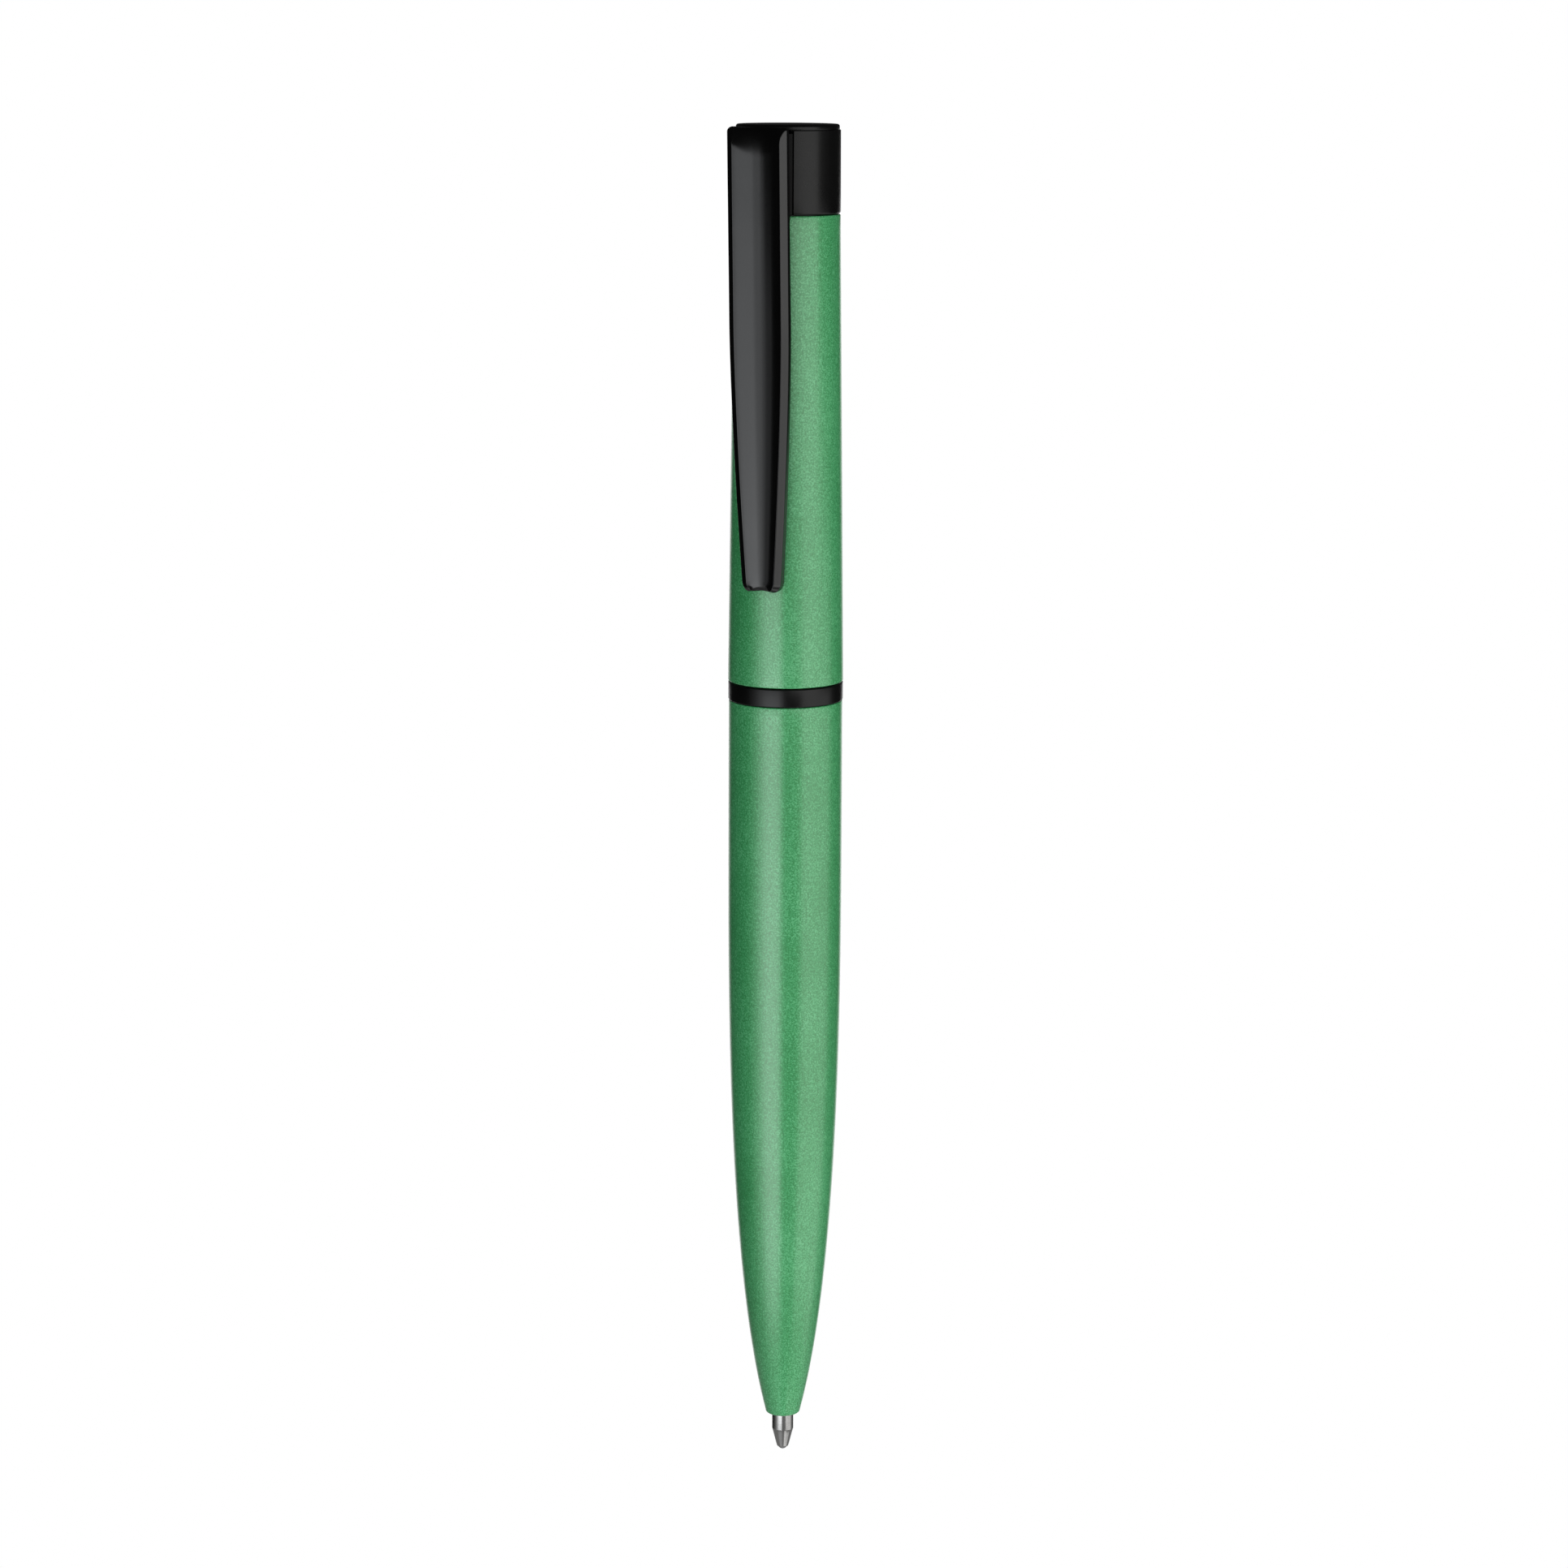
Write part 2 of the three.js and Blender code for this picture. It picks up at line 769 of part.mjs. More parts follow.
// Slotted screw that draws the holder and the plate together
function capScrew() {
  const tip = capTop - 0.4;
  const head = holderBottom() - facePlay / 2;
  const chamfer = 0.2;
  const body = turned([
    [0, head - screwHeadHeight],
    [screwHeadRadius - chamfer, head - screwHeadHeight],
    [screwHeadRadius, head - screwHeadHeight + chamfer],
    [screwHeadRadius, head],
    [screwRadius, head],
    [screwRadius, tip - chamfer],
    [screwRadius - chamfer, tip],
    [0, tip],
  ], smallSides);
  const slotDepth = screwHeadHeight / 2;
  return cut(body, [
    block(2 * (screwHeadRadius + overshoot), screwSlotWidth, slotDepth * 2, 0, 0, head - screwHeadHeight),
  ]);
}

// Distance from the axis of the clip's edge, where bevel and side meet, and of its back
const clipTop = plateTop - clipDrop;
const clipBottom = clipTop - clipLength;

function clipEdge(height) {
  return THREE.MathUtils.mapLinear(height, clipBottom, clipTop, clipTipReach, clipTopReach);
}

function clipBack(height) {
  const side = THREE.MathUtils.mapLinear(height, clipBottom, clipTop, clipTipSide, clipTopSide);
  return clipEdge(height) - side;
}

function clipHalfWidth(height) {
  const below = Math.max(0, clipTop - clipTaperStart - height);
  const taper = Math.pow(below / (clipLength - clipTaperStart), 1.5);
  return THREE.MathUtils.lerp(clipTopWidth, clipTipWidth, taper) / 2;
}

// How far a round corner draws the width in, at a distance from the end
function cornerInset(distance, width, height) {
  const share = Math.min(1, distance / height);
  return width * (1 - Math.sqrt(1 - (1 - share) * (1 - share)));
}

// How far a roll-over draws the front back, given the distance to the clip's end and where the roll starts
function rollRecess(distance, start, depth) {
  const share = Math.min(1, Math.max(0, 1 - distance / start));
  return depth * (1 - Math.sqrt(1 - share * share));
}

// One closed ring of the clip at a height: along the front, then back along the rear
function clipRing(height) {
  const fromTop = clipTop - height;
  const fromTip = height - clipBottom;
  const half = clipHalfWidth(height)
    - cornerInset(fromTop, clipTopCorner, clipTopCorner)
    - cornerInset(fromTip, clipTipCorner, clipTipCornerHeight);
  const crest = half - clipBevelWidth;
  const ridge = clipEdge(height) + clipBevelDepth;
  const hollowRadius = crest / Math.sin(THREE.MathUtils.degToRad(clipHollowAngle));
  const ridgeRecess = rollRecess(fromTop, clipTopRoll.height, clipTopRoll.depth)
    + rollRecess(fromTip, clipTipRoll.height, clipTipRoll.depth);
  const cutShare = Math.min(1 - clipBevelLeft, ridgeRecess / clipBevelDepth);
  const landHalf = crest + cutShare * clipBevelWidth;
  const edge = Math.min(clipEdge(height), ridge - ridgeRecess);
  const landAt = (x) => {
    const inner = Math.min(Math.abs(x), crest);
    const share = 1 - (inner / crest) * (inner / crest);
    const hollow = Math.sqrt(hollowRadius * hollowRadius - inner * inner)
      - Math.sqrt(hollowRadius * hollowRadius - crest * crest);
    let recess = hollow;
    for (const [distance, roll] of [[fromTop, clipTopRoll], [fromTip, clipTipRoll]]) {
      recess += rollRecess(distance, roll.height + roll.crescent * share, Math.max(0, roll.depth - hollow));
    }
    return ridge - recess;
  };
  const front = [];
  const rear = [];
  const stations = [-half];
  for (let i = 0; i <= clipStations; i++) {
    stations.push(THREE.MathUtils.lerp(-landHalf, landHalf, i / clipStations));
  }
  stations.push(half);
  for (const x of stations) {
    const arch = 1 - (x / half) * (x / half);
    const nearTop = Math.max(0, 1 - fromTop / (clipTopRoll.height + clipTopRoll.crescent));
    const nearTip = Math.max(0, 1 - fromTip / clipTipCornerHeight);
    const level = height - clipTopArch * arch * nearTop + clipTipArch * arch * nearTip;
    front.push([x, Math.abs(x) < half ? -landAt(x) : -edge, level]);
    rear.unshift([x, -clipBack(height), level]);
  }
  return [...front, ...rear];
}

function clip() {
  const tipRises = [0, 0.08, 0.2, 0.4, 0.65, 0.95];
  const heights = tipRises.map((rise) => clipBottom + rise);
  const taperTop = clipTop - clipTaperStart;
  for (let i = 1; i <= 7; i++) {
    heights.push(THREE.MathUtils.lerp(clipBottom + tipRises.at(-1), taperTop, i / 7));
  }
  const rollHeight = clipTopRoll.height + clipTopRoll.crescent;
  heights.push(clipTop - 3 * rollHeight);
  for (let i = 0; i <= 7; i++) {
    heights.push(clipTop - rollHeight + rollHeight * Math.sin((i / 7) * (Math.PI / 2)));
  }
  const bar = lofted(heights.map(clipRing));
  const web = clipWeb();
  const tongue = clipTongue();
  const barrelRoom = turned([
    [0, clipBottom - overshoot],
    [upperSide(clipBottom) + clipTipGap, clipBottom - overshoot],
    [upperSide(clipBottom) + clipTipGap, clipBottom],
    [upperSide(upperBarrelLength) + clipTipGap, upperBarrelLength],
    [upperSide(upperBarrelLength) + clipTipGap, capBottom + facePlay],
    [0, capBottom + facePlay],
  ], 2 * outerSides);
  const holeLength = tongueWidth + overshoot;
  const pinHole = barAcross(hingePinRadius + pinPlay, holeLength, -hingeOffset, capBottom + hingeHeight);
  return cut(join([bar, web, tongue]), [barrelRoom, pinHole]);
}

// Web between the clip and the cap, with a straight gusset below, where a pocket's hem seats
function clipWeb() {
  const top = capTop - webDrop;
  const inside = windowEnd() + webInset;
  const sink = clipTopSide / 2;
  const gussetTop = capBottom - facePlay;
  const outer = clipBack(gussetTop - gussetDrop) + sink;
  return prismAcross([
    [-inside, top],
    [-inside, capBottom],
    [-upperTopRadius, capBottom],
    [-upperTopRadius, gussetTop],
    [-outer, gussetTop - gussetDrop],
    [-clipBack(top) - sink, top - webCorner],
    [-clipBack(top) - sink, top],
  ], webWidth);
}

function clipTongue() {
  const tip = hingeOffset - hingePinRadius - tongueWall;
  const root = windowEnd() + webInset + tongueWall;
  return block(tongueWidth, root - tip, tongueHeight, 0, -(root + tip) / 2, capBottom + hingeHeight);
}

// Colours and finishes
const blackPaint = { color: 0x161616, roughness: 0.4, metalness: 0.1 };
const greenPaint = { color: 0x3f7d52, roughness: 0.42, metalness: 0.5 };
const nickel = { color: 0xb9bbbd, roughness: 0.22, metalness: 1 };
const brass = { color: 0xb08d46, roughness: 0.35, metalness: 1 };
const steel = { color: 0x9a9da1, roughness: 0.3, metalness: 1 };
const whitePlastic = { color: 0xe3e2dc, roughness: 0.5, metalness: 0 };
const blackPlastic = { color: 0x1c1c1e, roughness: 0.55, metalness: 0 };
const rubber = { color: 0x202020, roughness: 0.85, metalness: 0 };
const inkBlue = { color: 0x14204e, roughness: 0.2, metalness: 0 };

const pen = new THREE.Group();

function add(name, geometry, finish, x = 0, y = 0, z = 0) {
  const mesh = new THREE.Mesh(geometry, new THREE.MeshStandardMaterial(finish));
  mesh.name = name;
  mesh.position.set(x, y, z);
  pen.add(mesh);
}

// Lower half, which the fingers hold still
add('lower_barrel', lowerBarrel(), greenPaint);
add('barrel_insert', barrelInsert(), brass, 0, 0, lowerTop - facePlay);
add('centre_ring', centreRing(), blackPaint, 0, 0, ringBottom);
add('mechanism_body', mechanismBody(), brass);
add('friction_ring', frictionRing(), rubber, 0, 0, collarHeight / 2);
add('thrust_washer', thrustWasher(), steel, 0, 0, washerBottom);
add('snap_ring', snapRing(), steel, 0, 0, snapRingBottom);
add('return_spring', returnSpring(), steel);

// Upper half, which twists
add('upper_barrel', upperBarrel(), greenPaint);
add('cam_sleeve', camSleeve(), blackPlastic);
add('top_cap', topCap(), blackPaint, 0, 0, capBottom);
add('clip_holder', clipHolder(), brass, 0, 0, holderBottom());
add('hinge_pin', hingePin(), steel, 0, -hingeOffset, capBottom + hingeHeight);
add('cap_plate', capPlate(), blackPaint, 0, 0, capTop);
add('cap_screw', capScrew(), steel);
add('clip', clip(), blackPaint);

// Plunger, refill and ball, which the twist draws in and out
add('plunger', plunger(), whitePlastic, 0, 0, plungerBottom);
add('follower_pin', followerPin(), steel, 0, 0, pinCentre);
add('refill_tube', refillTube(), nickel);
add('refill_plug', refillPlug(), whitePlastic, 0, 0, refillTop - plugHead);
add('ink', ink(), inkBlue);
add('point_holder', pointHolder(), nickel);
add('ball', ball(), steel, 0, 0, ballHeight);

export default pen;
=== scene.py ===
"""Looks of the twist-action ballpoint pen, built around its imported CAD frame. Metres, +Z towards the cap."""

import json
import math

import bpy
from mathutils import Euler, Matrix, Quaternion, Vector


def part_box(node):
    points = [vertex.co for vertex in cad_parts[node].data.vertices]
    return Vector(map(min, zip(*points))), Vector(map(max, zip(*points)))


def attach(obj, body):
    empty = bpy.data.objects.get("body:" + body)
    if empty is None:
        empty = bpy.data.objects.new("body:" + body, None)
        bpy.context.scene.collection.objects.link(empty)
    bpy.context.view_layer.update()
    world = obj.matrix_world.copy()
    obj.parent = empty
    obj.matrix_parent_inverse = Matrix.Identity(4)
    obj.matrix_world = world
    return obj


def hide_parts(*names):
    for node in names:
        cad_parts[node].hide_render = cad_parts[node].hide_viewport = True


MM = 0.001
SHARP_ANGLE, POINT_SHARP_ANGLE, CLIP_SHARP_ANGLE = 35, 20, 40

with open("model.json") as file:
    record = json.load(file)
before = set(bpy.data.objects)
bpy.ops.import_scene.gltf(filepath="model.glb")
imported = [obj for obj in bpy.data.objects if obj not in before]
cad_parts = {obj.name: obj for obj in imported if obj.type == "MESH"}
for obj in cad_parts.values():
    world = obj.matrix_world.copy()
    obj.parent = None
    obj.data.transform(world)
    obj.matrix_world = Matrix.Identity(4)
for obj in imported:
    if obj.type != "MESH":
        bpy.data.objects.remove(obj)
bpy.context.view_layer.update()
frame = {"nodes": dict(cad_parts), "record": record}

# Sizes of the finer pieces, in millimetres: the CAD model's own, or close to them to meet the photograph
PLATE_RADIUS, PLATE_EDGE, PLATE_FOOT = 5.2, 0.22, 0.06
STEM_RADIUS, STEM_LENGTH = 1.45, 1.5
CAP_TOP_RADIUS, CAP_BASE_RADIUS, CAP_EDGE = 5.32, 5.36, 0.25
CAP_BORE, CAP_ROOF, CAP_RIM, STEM_BORE = 3.895, 1.6, 0.05, 1.49
SPIGOT_RADIUS, SPIGOT_LENGTH, SPIGOT_EDGE = 4.745, 6.0, 0.2
UPPER_TOP, UPPER_SEAM, UPPER_SWELL = 5.335, 5.925, 0.012
RING_RADIUS, RING_EDGE, RING_BORE = 5.9, 0.12, 4.905
LOWER_TOP_RADIUS, LOWER_RADIUS, NOSE_RADIUS, LOWER_WALL = 5.845, 5.866, 1.85, 0.8
TAPER_START, TAPER_HOLD, NOSE_HOLD = 17.8, 13.5, 16.0
BARREL_EDGE, NOSE_EDGE = 0.12, 0.3
UPPER_BORE, LOWER_BORE, REFILL_BORE = 4.785, 5.045, 3.09
SOCKET_DEPTH, SOCKET_STEP = 8.8, 0.2
POINT_BORE, POINT_BORE_EDGE = 1.22, 0.1
SPRING_BORE, SPRING_SEAT, SPRING_ROOM = 2.28, 8.95, 0.84
REFILL_ROOM, POINT_LENGTH, NECK_LENGTH = 1.65, 9.05, 3.4
POINT_RADIUS, POINT_CONE, POINT_CHANNEL, CHANNEL_END = 1.15, 2.4, 0.28, 0.95
POINT_SHOULDER, POINT_CHAMFER = 0.03, 0.1
BALL_RADIUS, BALL_SOCKET = 0.5, 0.53
SOCKET_TOP_ANGLE, SOCKET_LIP_ANGLE = 58, -19.8

# Outline of the lip round the ball, as radius and height above the ball's lowest point
POINT_LIP = ((0.5, 0.305), (0.54, 0.325), (0.585, 0.36), (0.622, 0.41))
LIP_ROOT_RADIUS, LIP_ROOT_HEIGHT = 0.65, 0.48

# The clip: widths and reach at both ends, the bevels, the hollow between them and the roll-overs
CLIP_TAPER_START, CLIP_TAPER_POWER = 19.8, 1.5
CLIP_TOP_WIDTH, CLIP_TIP_WIDTH = 6.4, 4.1
CLIP_TOP_REACH, CLIP_TIP_REACH = 8.14, 6.61
CLIP_BEVEL_WIDTH, CLIP_BEVEL_DEPTH = 0.6, 0.43
CLIP_HOLLOW_ANGLE, CLIP_LEAN = 22, 3
CLIP_TOP_SIDE, CLIP_TIP_SIDE = 0.45, 0.85
TOP_ROLL = {"depth": 0.85, "height": 1.75, "crescent": 1.25}
TIP_ROLL = {"depth": 0.5, "height": 0.45, "crescent": 0.75}
CLIP_TOP_CORNER, CLIP_TIP_CORNER, CLIP_TIP_CORNER_HEIGHT = 0.4, 0.75, 1.05
CLIP_TOP_ARCH, CLIP_TIP_ARCH = 0.08, 0.13
CLIP_RIDGE_BLEND, CLIP_SIDE_EDGE = 0.035, 0.07
TIP_RISES = (0, 0.02, 0.05, 0.09, 0.14, 0.2, 0.27, 0.35, 0.45, 0.55, 0.7, 0.9, 1.2)
RIDGE_STEPS = (-0.06, -0.03, -0.01, 0, 0.01, 0.03, 0.06)
SIDE_EDGE_STEPS = (0.6, 0.3, 0.12, 0.03, 0)
BEVEL_START = 0.1
WEB_WIDTH, WEB_DROP, WEB_CORNER, WEB_INSIDE = 4.95, 0.3, 0.5, 4.095
WEB_FOOT, WEB_PLAY = 0.1, 0.12
GUSSET_DROP = 4.2
WINDOW_HALF, WINDOW_END = 2.555, 3.495
HINGE_OFFSET, HINGE_HEIGHT, HINGE_HOLE = 2.4, 4.1, 0.65
HINGE_SLIT, HINGE_SLIT_ANGLE = 0.02, 2
TONGUE_WIDTH, TONGUE_HEIGHT, TONGUE_TIP, TONGUE_ROOT = 2.4, 2.6, 1.4, 4.495

# Shifts that meet the photograph: tops of both barrels, the cap's foot above the upper one, the clip's tip
LOWER_RAISE, UPPER_RAISE, CAP_FOOT, CLIP_DROP = 0.05, 0.12, 0.19, 0.1

# Heights, read from the frame's own boxes, with these shifts
LOWER_LOW, LOWER_HIGH = (corner.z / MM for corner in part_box("lower_barrel"))
LOWER_HIGH += LOWER_RAISE
RING_LOW, RING_HIGH = (corner.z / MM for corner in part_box("centre_ring"))
UPPER_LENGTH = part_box("upper_barrel")[1].z / MM
SEAM_TOP = UPPER_LENGTH + UPPER_RAISE
CAP_LOW = UPPER_LENGTH + CAP_FOOT
CAP_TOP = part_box("top_cap")[1].z / MM
PLATE_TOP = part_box("cap_plate")[1].z / MM
BALL_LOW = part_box("ball")[0].z / MM
POINT_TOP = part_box("point_holder")[1].z / MM
CLIP_LOW, CLIP_HIGH = (corner.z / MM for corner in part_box("clip"))
CLIP_LOW -= CLIP_DROP


# Mesh helpers
def new_object(name, verts, faces, sharp=SHARP_ANGLE):
    """Object from vertices in millimetres, smooth except where faces meet at more than sharp degrees."""
    mesh = bpy.data.meshes.new(name)
    mesh.from_pydata([[c * MM for c in v] for v in verts], [], faces)
    mesh.validate()
    mesh.update()
    mesh.shade_smooth()
    mesh.set_sharp_from_angle(angle=math.radians(sharp))
    made = bpy.data.objects.new(name, mesh)
    bpy.context.scene.collection.objects.link(made)
    return made


def arc(centre_r, centre_z, radius, start, end, steps=8):
    """Points of a round edge in the (radius, height) plane, from one angle to another in degrees."""
    points = []
    for i in range(steps + 1):
        angle = math.radians(start + (end - start) * i / steps)
        points.append((centre_r + radius * math.cos(angle), centre_z + radius * math.sin(angle)))
    return points


def turned_faces(outline, sides=160):
    """Vertices and faces of a solid turned about Z from a closed outline of (radius, height) points."""
    verts, faces, rows = [], [], []
    for radius, height in outline:
        if radius < 1e-6:
            rows.append([len(verts)] * sides)
            verts.append((0, 0, height))
            continue
        rows.append(list(range(len(verts), len(verts) + sides)))
        for j in range(sides):
            angle = 2 * math.pi * j / sides
            verts.append((radius * math.cos(angle), radius * math.sin(angle), height))
    for i in range(len(rows)):
        a, b = rows[i], rows[(i + 1) % len(rows)]
        for j in range(sides):
            k = (j + 1) % sides
            corners = []
            for v in (a[j], a[k], b[k], b[j]):
                if v not in corners:
                    corners.append(v)
            if len(corners) > 2:
                faces.append(corners)
    return verts, faces


def lofted_faces(rings):
    """Vertices and faces of a closed skin through rings of equal size, with flat ends."""
    size = len(rings[0])
    verts = [v for ring in rings for v in ring]
    faces = [list(range(size))[::-1], list(range((len(rings) - 1) * size, len(rings) * size))]
    for i in range(len(rings) - 1):
        for j in range(size):
            k = (j + 1) % size
            faces.append([i * size + j, i * size + k, (i + 1) * size + k, (i + 1) * size + j])
    return verts, faces


def gather(name, parts, sharp=SHARP_ANGLE):
    """One object from several closed skins."""
    verts, faces = [], []
    for part_verts, part_faces in parts:
        start = len(verts)
        verts += part_verts
        faces += [[start + v for v in face] for face in part_faces]
    return new_object(name, verts, faces, sharp)


def lathe(name, outline, sides=160, sharp=SHARP_ANGLE):
    """One object turned about Z from a closed outline."""
    return gather(name, [turned_faces(outline, sides)], sharp)


def bezier(points, steps):
    """Points along the Bezier curve that the given (radius, height) points control."""
    made = []
    degree = len(points) - 1
    for i in range(steps + 1):
        t = i / steps
        radius = height = 0
        for k, (r, z) in enumerate(points):
            share = math.comb(degree, k) * t**k * (1 - t) ** (degree - k)
            radius += share * r
            height += share * z
        made.append((radius, height))
    return made


def mix(start, end, share):
    """Value at a share of the way from start to end."""
    return start + (end - start) * share


# Materials
def material(name, base, roughness, metallic=0.0, specular=0.5, ior=1.5):
    mat = bpy.data.materials.new(name)
    mat.use_nodes = True
    tree = mat.node_tree
    shader = tree.nodes["Principled BSDF"]
    shader.inputs["Base Color"].default_value = (*base, 1)
    shader.inputs["Roughness"].default_value = roughness
    shader.inputs["Metallic"].default_value = metallic
    shader.inputs["Specular IOR Level"].default_value = specular
    shader.inputs["IOR"].default_value = ior
    return mat, tree, shader


def texture_space(tree, scale=(1, 1, 1)):
    """Coordinates in the piece's own space, in metres, stretched by scale."""
    place = tree.nodes.new("ShaderNodeTexCoord")
    stretch = tree.nodes.new("ShaderNodeMapping")
    stretch.inputs["Scale"].default_value = scale
    tree.links.new(place.outputs["Object"], stretch.inputs["Vector"])
    return stretch.outputs["Vector"]


def noise(tree, space, scale, detail=2.0, rough=0.5):
    """Procedural noise between 0 and 1, scale cells to the metre."""
    node = tree.nodes.new("ShaderNodeTexNoise")
    node.inputs["Scale"].default_value = scale
    node.inputs["Detail"].default_value = detail
    node.inputs["Roughness"].default_value = rough
    tree.links.new(space, node.inputs["Vector"])
    return node.outputs["Fac"]


def spread(tree, value, low, high, start=0.3, end=0.7):
    """Value stretched so that start to end becomes low to high."""
    node = tree.nodes.new("ShaderNodeMapRange")
    node.inputs["From Min"].default_value = start
    node.inputs["From Max"].default_value = end
    node.inputs["To Min"].default_value = low
    node.inputs["To Max"].default_value = high
    tree.links.new(value, node.inputs["Value"])
    return node.outputs["Result"]


def ramp(tree, value, stops):
    """Colours blended by value between stops of (position, colour)."""
    node = tree.nodes.new("ShaderNodeValToRGB")
    points = node.color_ramp.elements
    points[0].position, points[0].color = stops[0][0], (*stops[0][1], 1)
    points[1].position, points[1].color = stops[-1][0], (*stops[-1][1], 1)
    for position, colour in stops[1:-1]:
        points.new(position).color = (*colour, 1)
    tree.links.new(value, node.inputs["Fac"])
    return node.outputs["Color"]


def bump(tree, shader, height, strength, distance):
    node = tree.nodes.new("ShaderNodeBump")
    node.inputs["Strength"].default_value = strength
    node.inputs["Distance"].default_value = distance
    tree.links.new(height, node.inputs["Height"])
    tree.links.new(node.outputs["Normal"], shader.inputs["Normal"])


def green_paint():
    """Metallic paint: fine bright flakes in green, under a clear satin coat."""
    mat, tree, shader = material("green_paint", (0.034, 0.335, 0.1), 0.6, 0.3)
    shader.inputs["Coat Weight"].default_value = 1.0
    shader.inputs["Coat IOR"].default_value = 1.72
    shader.inputs["Coat Roughness"].default_value = 0.26
    space = texture_space(tree)
    flakes = noise(tree, space, 6800, 3.0, 0.6)
    drift = noise(tree, space, 90, 3.0)
    blend = tree.nodes.new("ShaderNodeMath")
    blend.operation = "MULTIPLY_ADD"
    blend.inputs[1].default_value = 0.2
    tree.links.new(drift, blend.inputs[0])
    tree.links.new(flakes, blend.inputs[2])
    stops = [(0.48, (0.018, 0.24, 0.062)), (0.6, (0.034, 0.335, 0.1)), (0.73, (0.11, 0.49, 0.21))]
    tree.links.new(ramp(tree, blend.outputs[0], stops), shader.inputs["Base Color"])
    tree.links.new(spread(tree, flakes, 0.54, 0.66), shader.inputs["Roughness"])
    bump(tree, shader, flakes, strength=0.25, distance=0.00002)
    return mat


def black_coat(name, base, low, high, specular):
    """Smooth black coating with a faint orange peel and slight changes of gloss."""
    mat, tree, shader = material(name, base, (low + high) / 2, specular=specular)
    space = texture_space(tree)
    peel = noise(tree, space, 2600, 2.0)
    wear = noise(tree, space, 160, 4.0, 0.6)
    darker = tuple(c * 0.8 for c in base)
    brighter = tuple(c * 1.25 for c in base)
    tree.links.new(ramp(tree, wear, [(0.35, darker), (0.7, brighter)]), shader.inputs["Base Color"])
    tree.links.new(spread(tree, wear, low, high), shader.inputs["Roughness"])
    bump(tree, shader, peel, strength=0.06, distance=0.00002)
    return mat


def turned_metal(name, base, low, high, pitch=0.00006):
    """Metal with the fine rings that turning leaves round the Z axis."""
    mat, tree, shader = material(name, base, (low + high) / 2, 1.0)
    rings = noise(tree, texture_space(tree, (0.02, 0.02, 1)), 1 / pitch, 3.0, 0.6)
    cloud = noise(tree, texture_space(tree), 700, 3.0)
    darker = tuple(c * 0.86 for c in base)
    tree.links.new(ramp(tree, cloud, [(0.3, darker), (0.65, base)]), shader.inputs["Base Color"])
    tree.links.new(spread(tree, rings, low, high), shader.inputs["Roughness"])
    bump(tree, shader, rings, strength=0.08, distance=0.00001)
    return mat


def plastic(name, base, roughness, grain=3500, strength=0.1):
    """Plain moulded plastic, rubber or ink: fine grain, faint clouds and slight changes of gloss."""
    mat, tree, shader = material(name, base, roughness)
    space = texture_space(tree)
    fine = noise(tree, space, grain, 3.0, 0.6)
    cloud = noise(tree, space, 220, 3.0)
    darker = tuple(c * 0.88 for c in base)
    tree.links.new(ramp(tree, cloud, [(0.3, darker), (0.7, base)]), shader.inputs["Base Color"])
    tree.links.new(spread(tree, fine, roughness - 0.05, roughness + 0.06), shader.inputs["Roughness"])
    bump(tree, shader, fine, strength, distance=0.00003)
    return mat


MATERIALS = {
    "green_paint": green_paint(),
    "black_paint": black_coat("black_paint", (0.0009, 0.0009, 0.0009), 0.26, 0.31, 0.36),
    "black_lacquer": black_coat("black_lacquer", (0.0005, 0.0005, 0.0005), 0.14, 0.19, 0.6),
    "nickel": turned_metal("nickel", (0.42, 0.415, 0.41), 0.12, 0.22),
    "brass": turned_metal("brass", (0.6, 0.41, 0.16), 0.22, 0.36),
    "steel": turned_metal("steel", (0.45, 0.45, 0.46), 0.25, 0.4),
    "white_plastic": plastic("white_plastic", (0.74, 0.73, 0.68), 0.42),
    "black_plastic": plastic("black_plastic", (0.014, 0.014, 0.015), 0.45),
    "soft_rubber": plastic("soft_rubber", (0.014, 0.014, 0.014), 0.75, 2500, 0.2),
    "ink": plastic("ink", (0.008, 0.014, 0.09), 0.14, 900, 0.05),
}


def dress(piece, slot):
    """Gives a piece the one material of its slot."""
    piece.data.materials.clear()
    piece.data.materials.append(MATERIALS[slot])
    return piece


WELD_DISTANCE = 1e-6
EDGE_ANGLE = 32


def smooth_group():
    """Node group that joins a CAD mesh's split corners and shades it smooth except at its real edges."""
    group = bpy.data.node_groups.new("smooth_faces", "GeometryNodeTree")
    group.interface.new_socket("Geometry", in_out="INPUT", socket_type="NodeSocketGeometry")
    group.interface.new_socket("Geometry", in_out="OUTPUT", socket_type="NodeSocketGeometry")
    nodes, links = group.nodes, group.links
    start, end = nodes.new("NodeGroupInput"), nodes.new("NodeGroupOutput")
    weld = nodes.new("GeometryNodeMergeByDistance")
    weld.inputs["Distance"].default_value = WELD_DISTANCE
    faces = nodes.new("GeometryNodeSetShadeSmooth")
    faces.domain = "FACE"
    edges = nodes.new("GeometryNodeSetShadeSmooth")
    edges.domain = "EDGE"
    edges.inputs["Shade Smooth"].default_value = False
    angle = nodes.new("GeometryNodeInputMeshEdgeAngle")
    above = nodes.new("FunctionNodeCompare")
    above.data_type = "FLOAT"
    above.operation = "GREATER_THAN"
    above.inputs["B"].default_value = math.radians(EDGE_ANGLE)
    links.new(start.outputs[0], weld.inputs["Geometry"])
    links.new(weld.outputs["Geometry"], faces.inputs["Geometry"])
    links.new(faces.outputs["Geometry"], edges.inputs["Geometry"])
    links.new(angle.outputs["Unsigned Angle"], above.inputs["A"])
    links.new(above.outputs["Result"], edges.inputs["Selection"])
    links.new(edges.outputs["Geometry"], end.inputs[0])
    return group


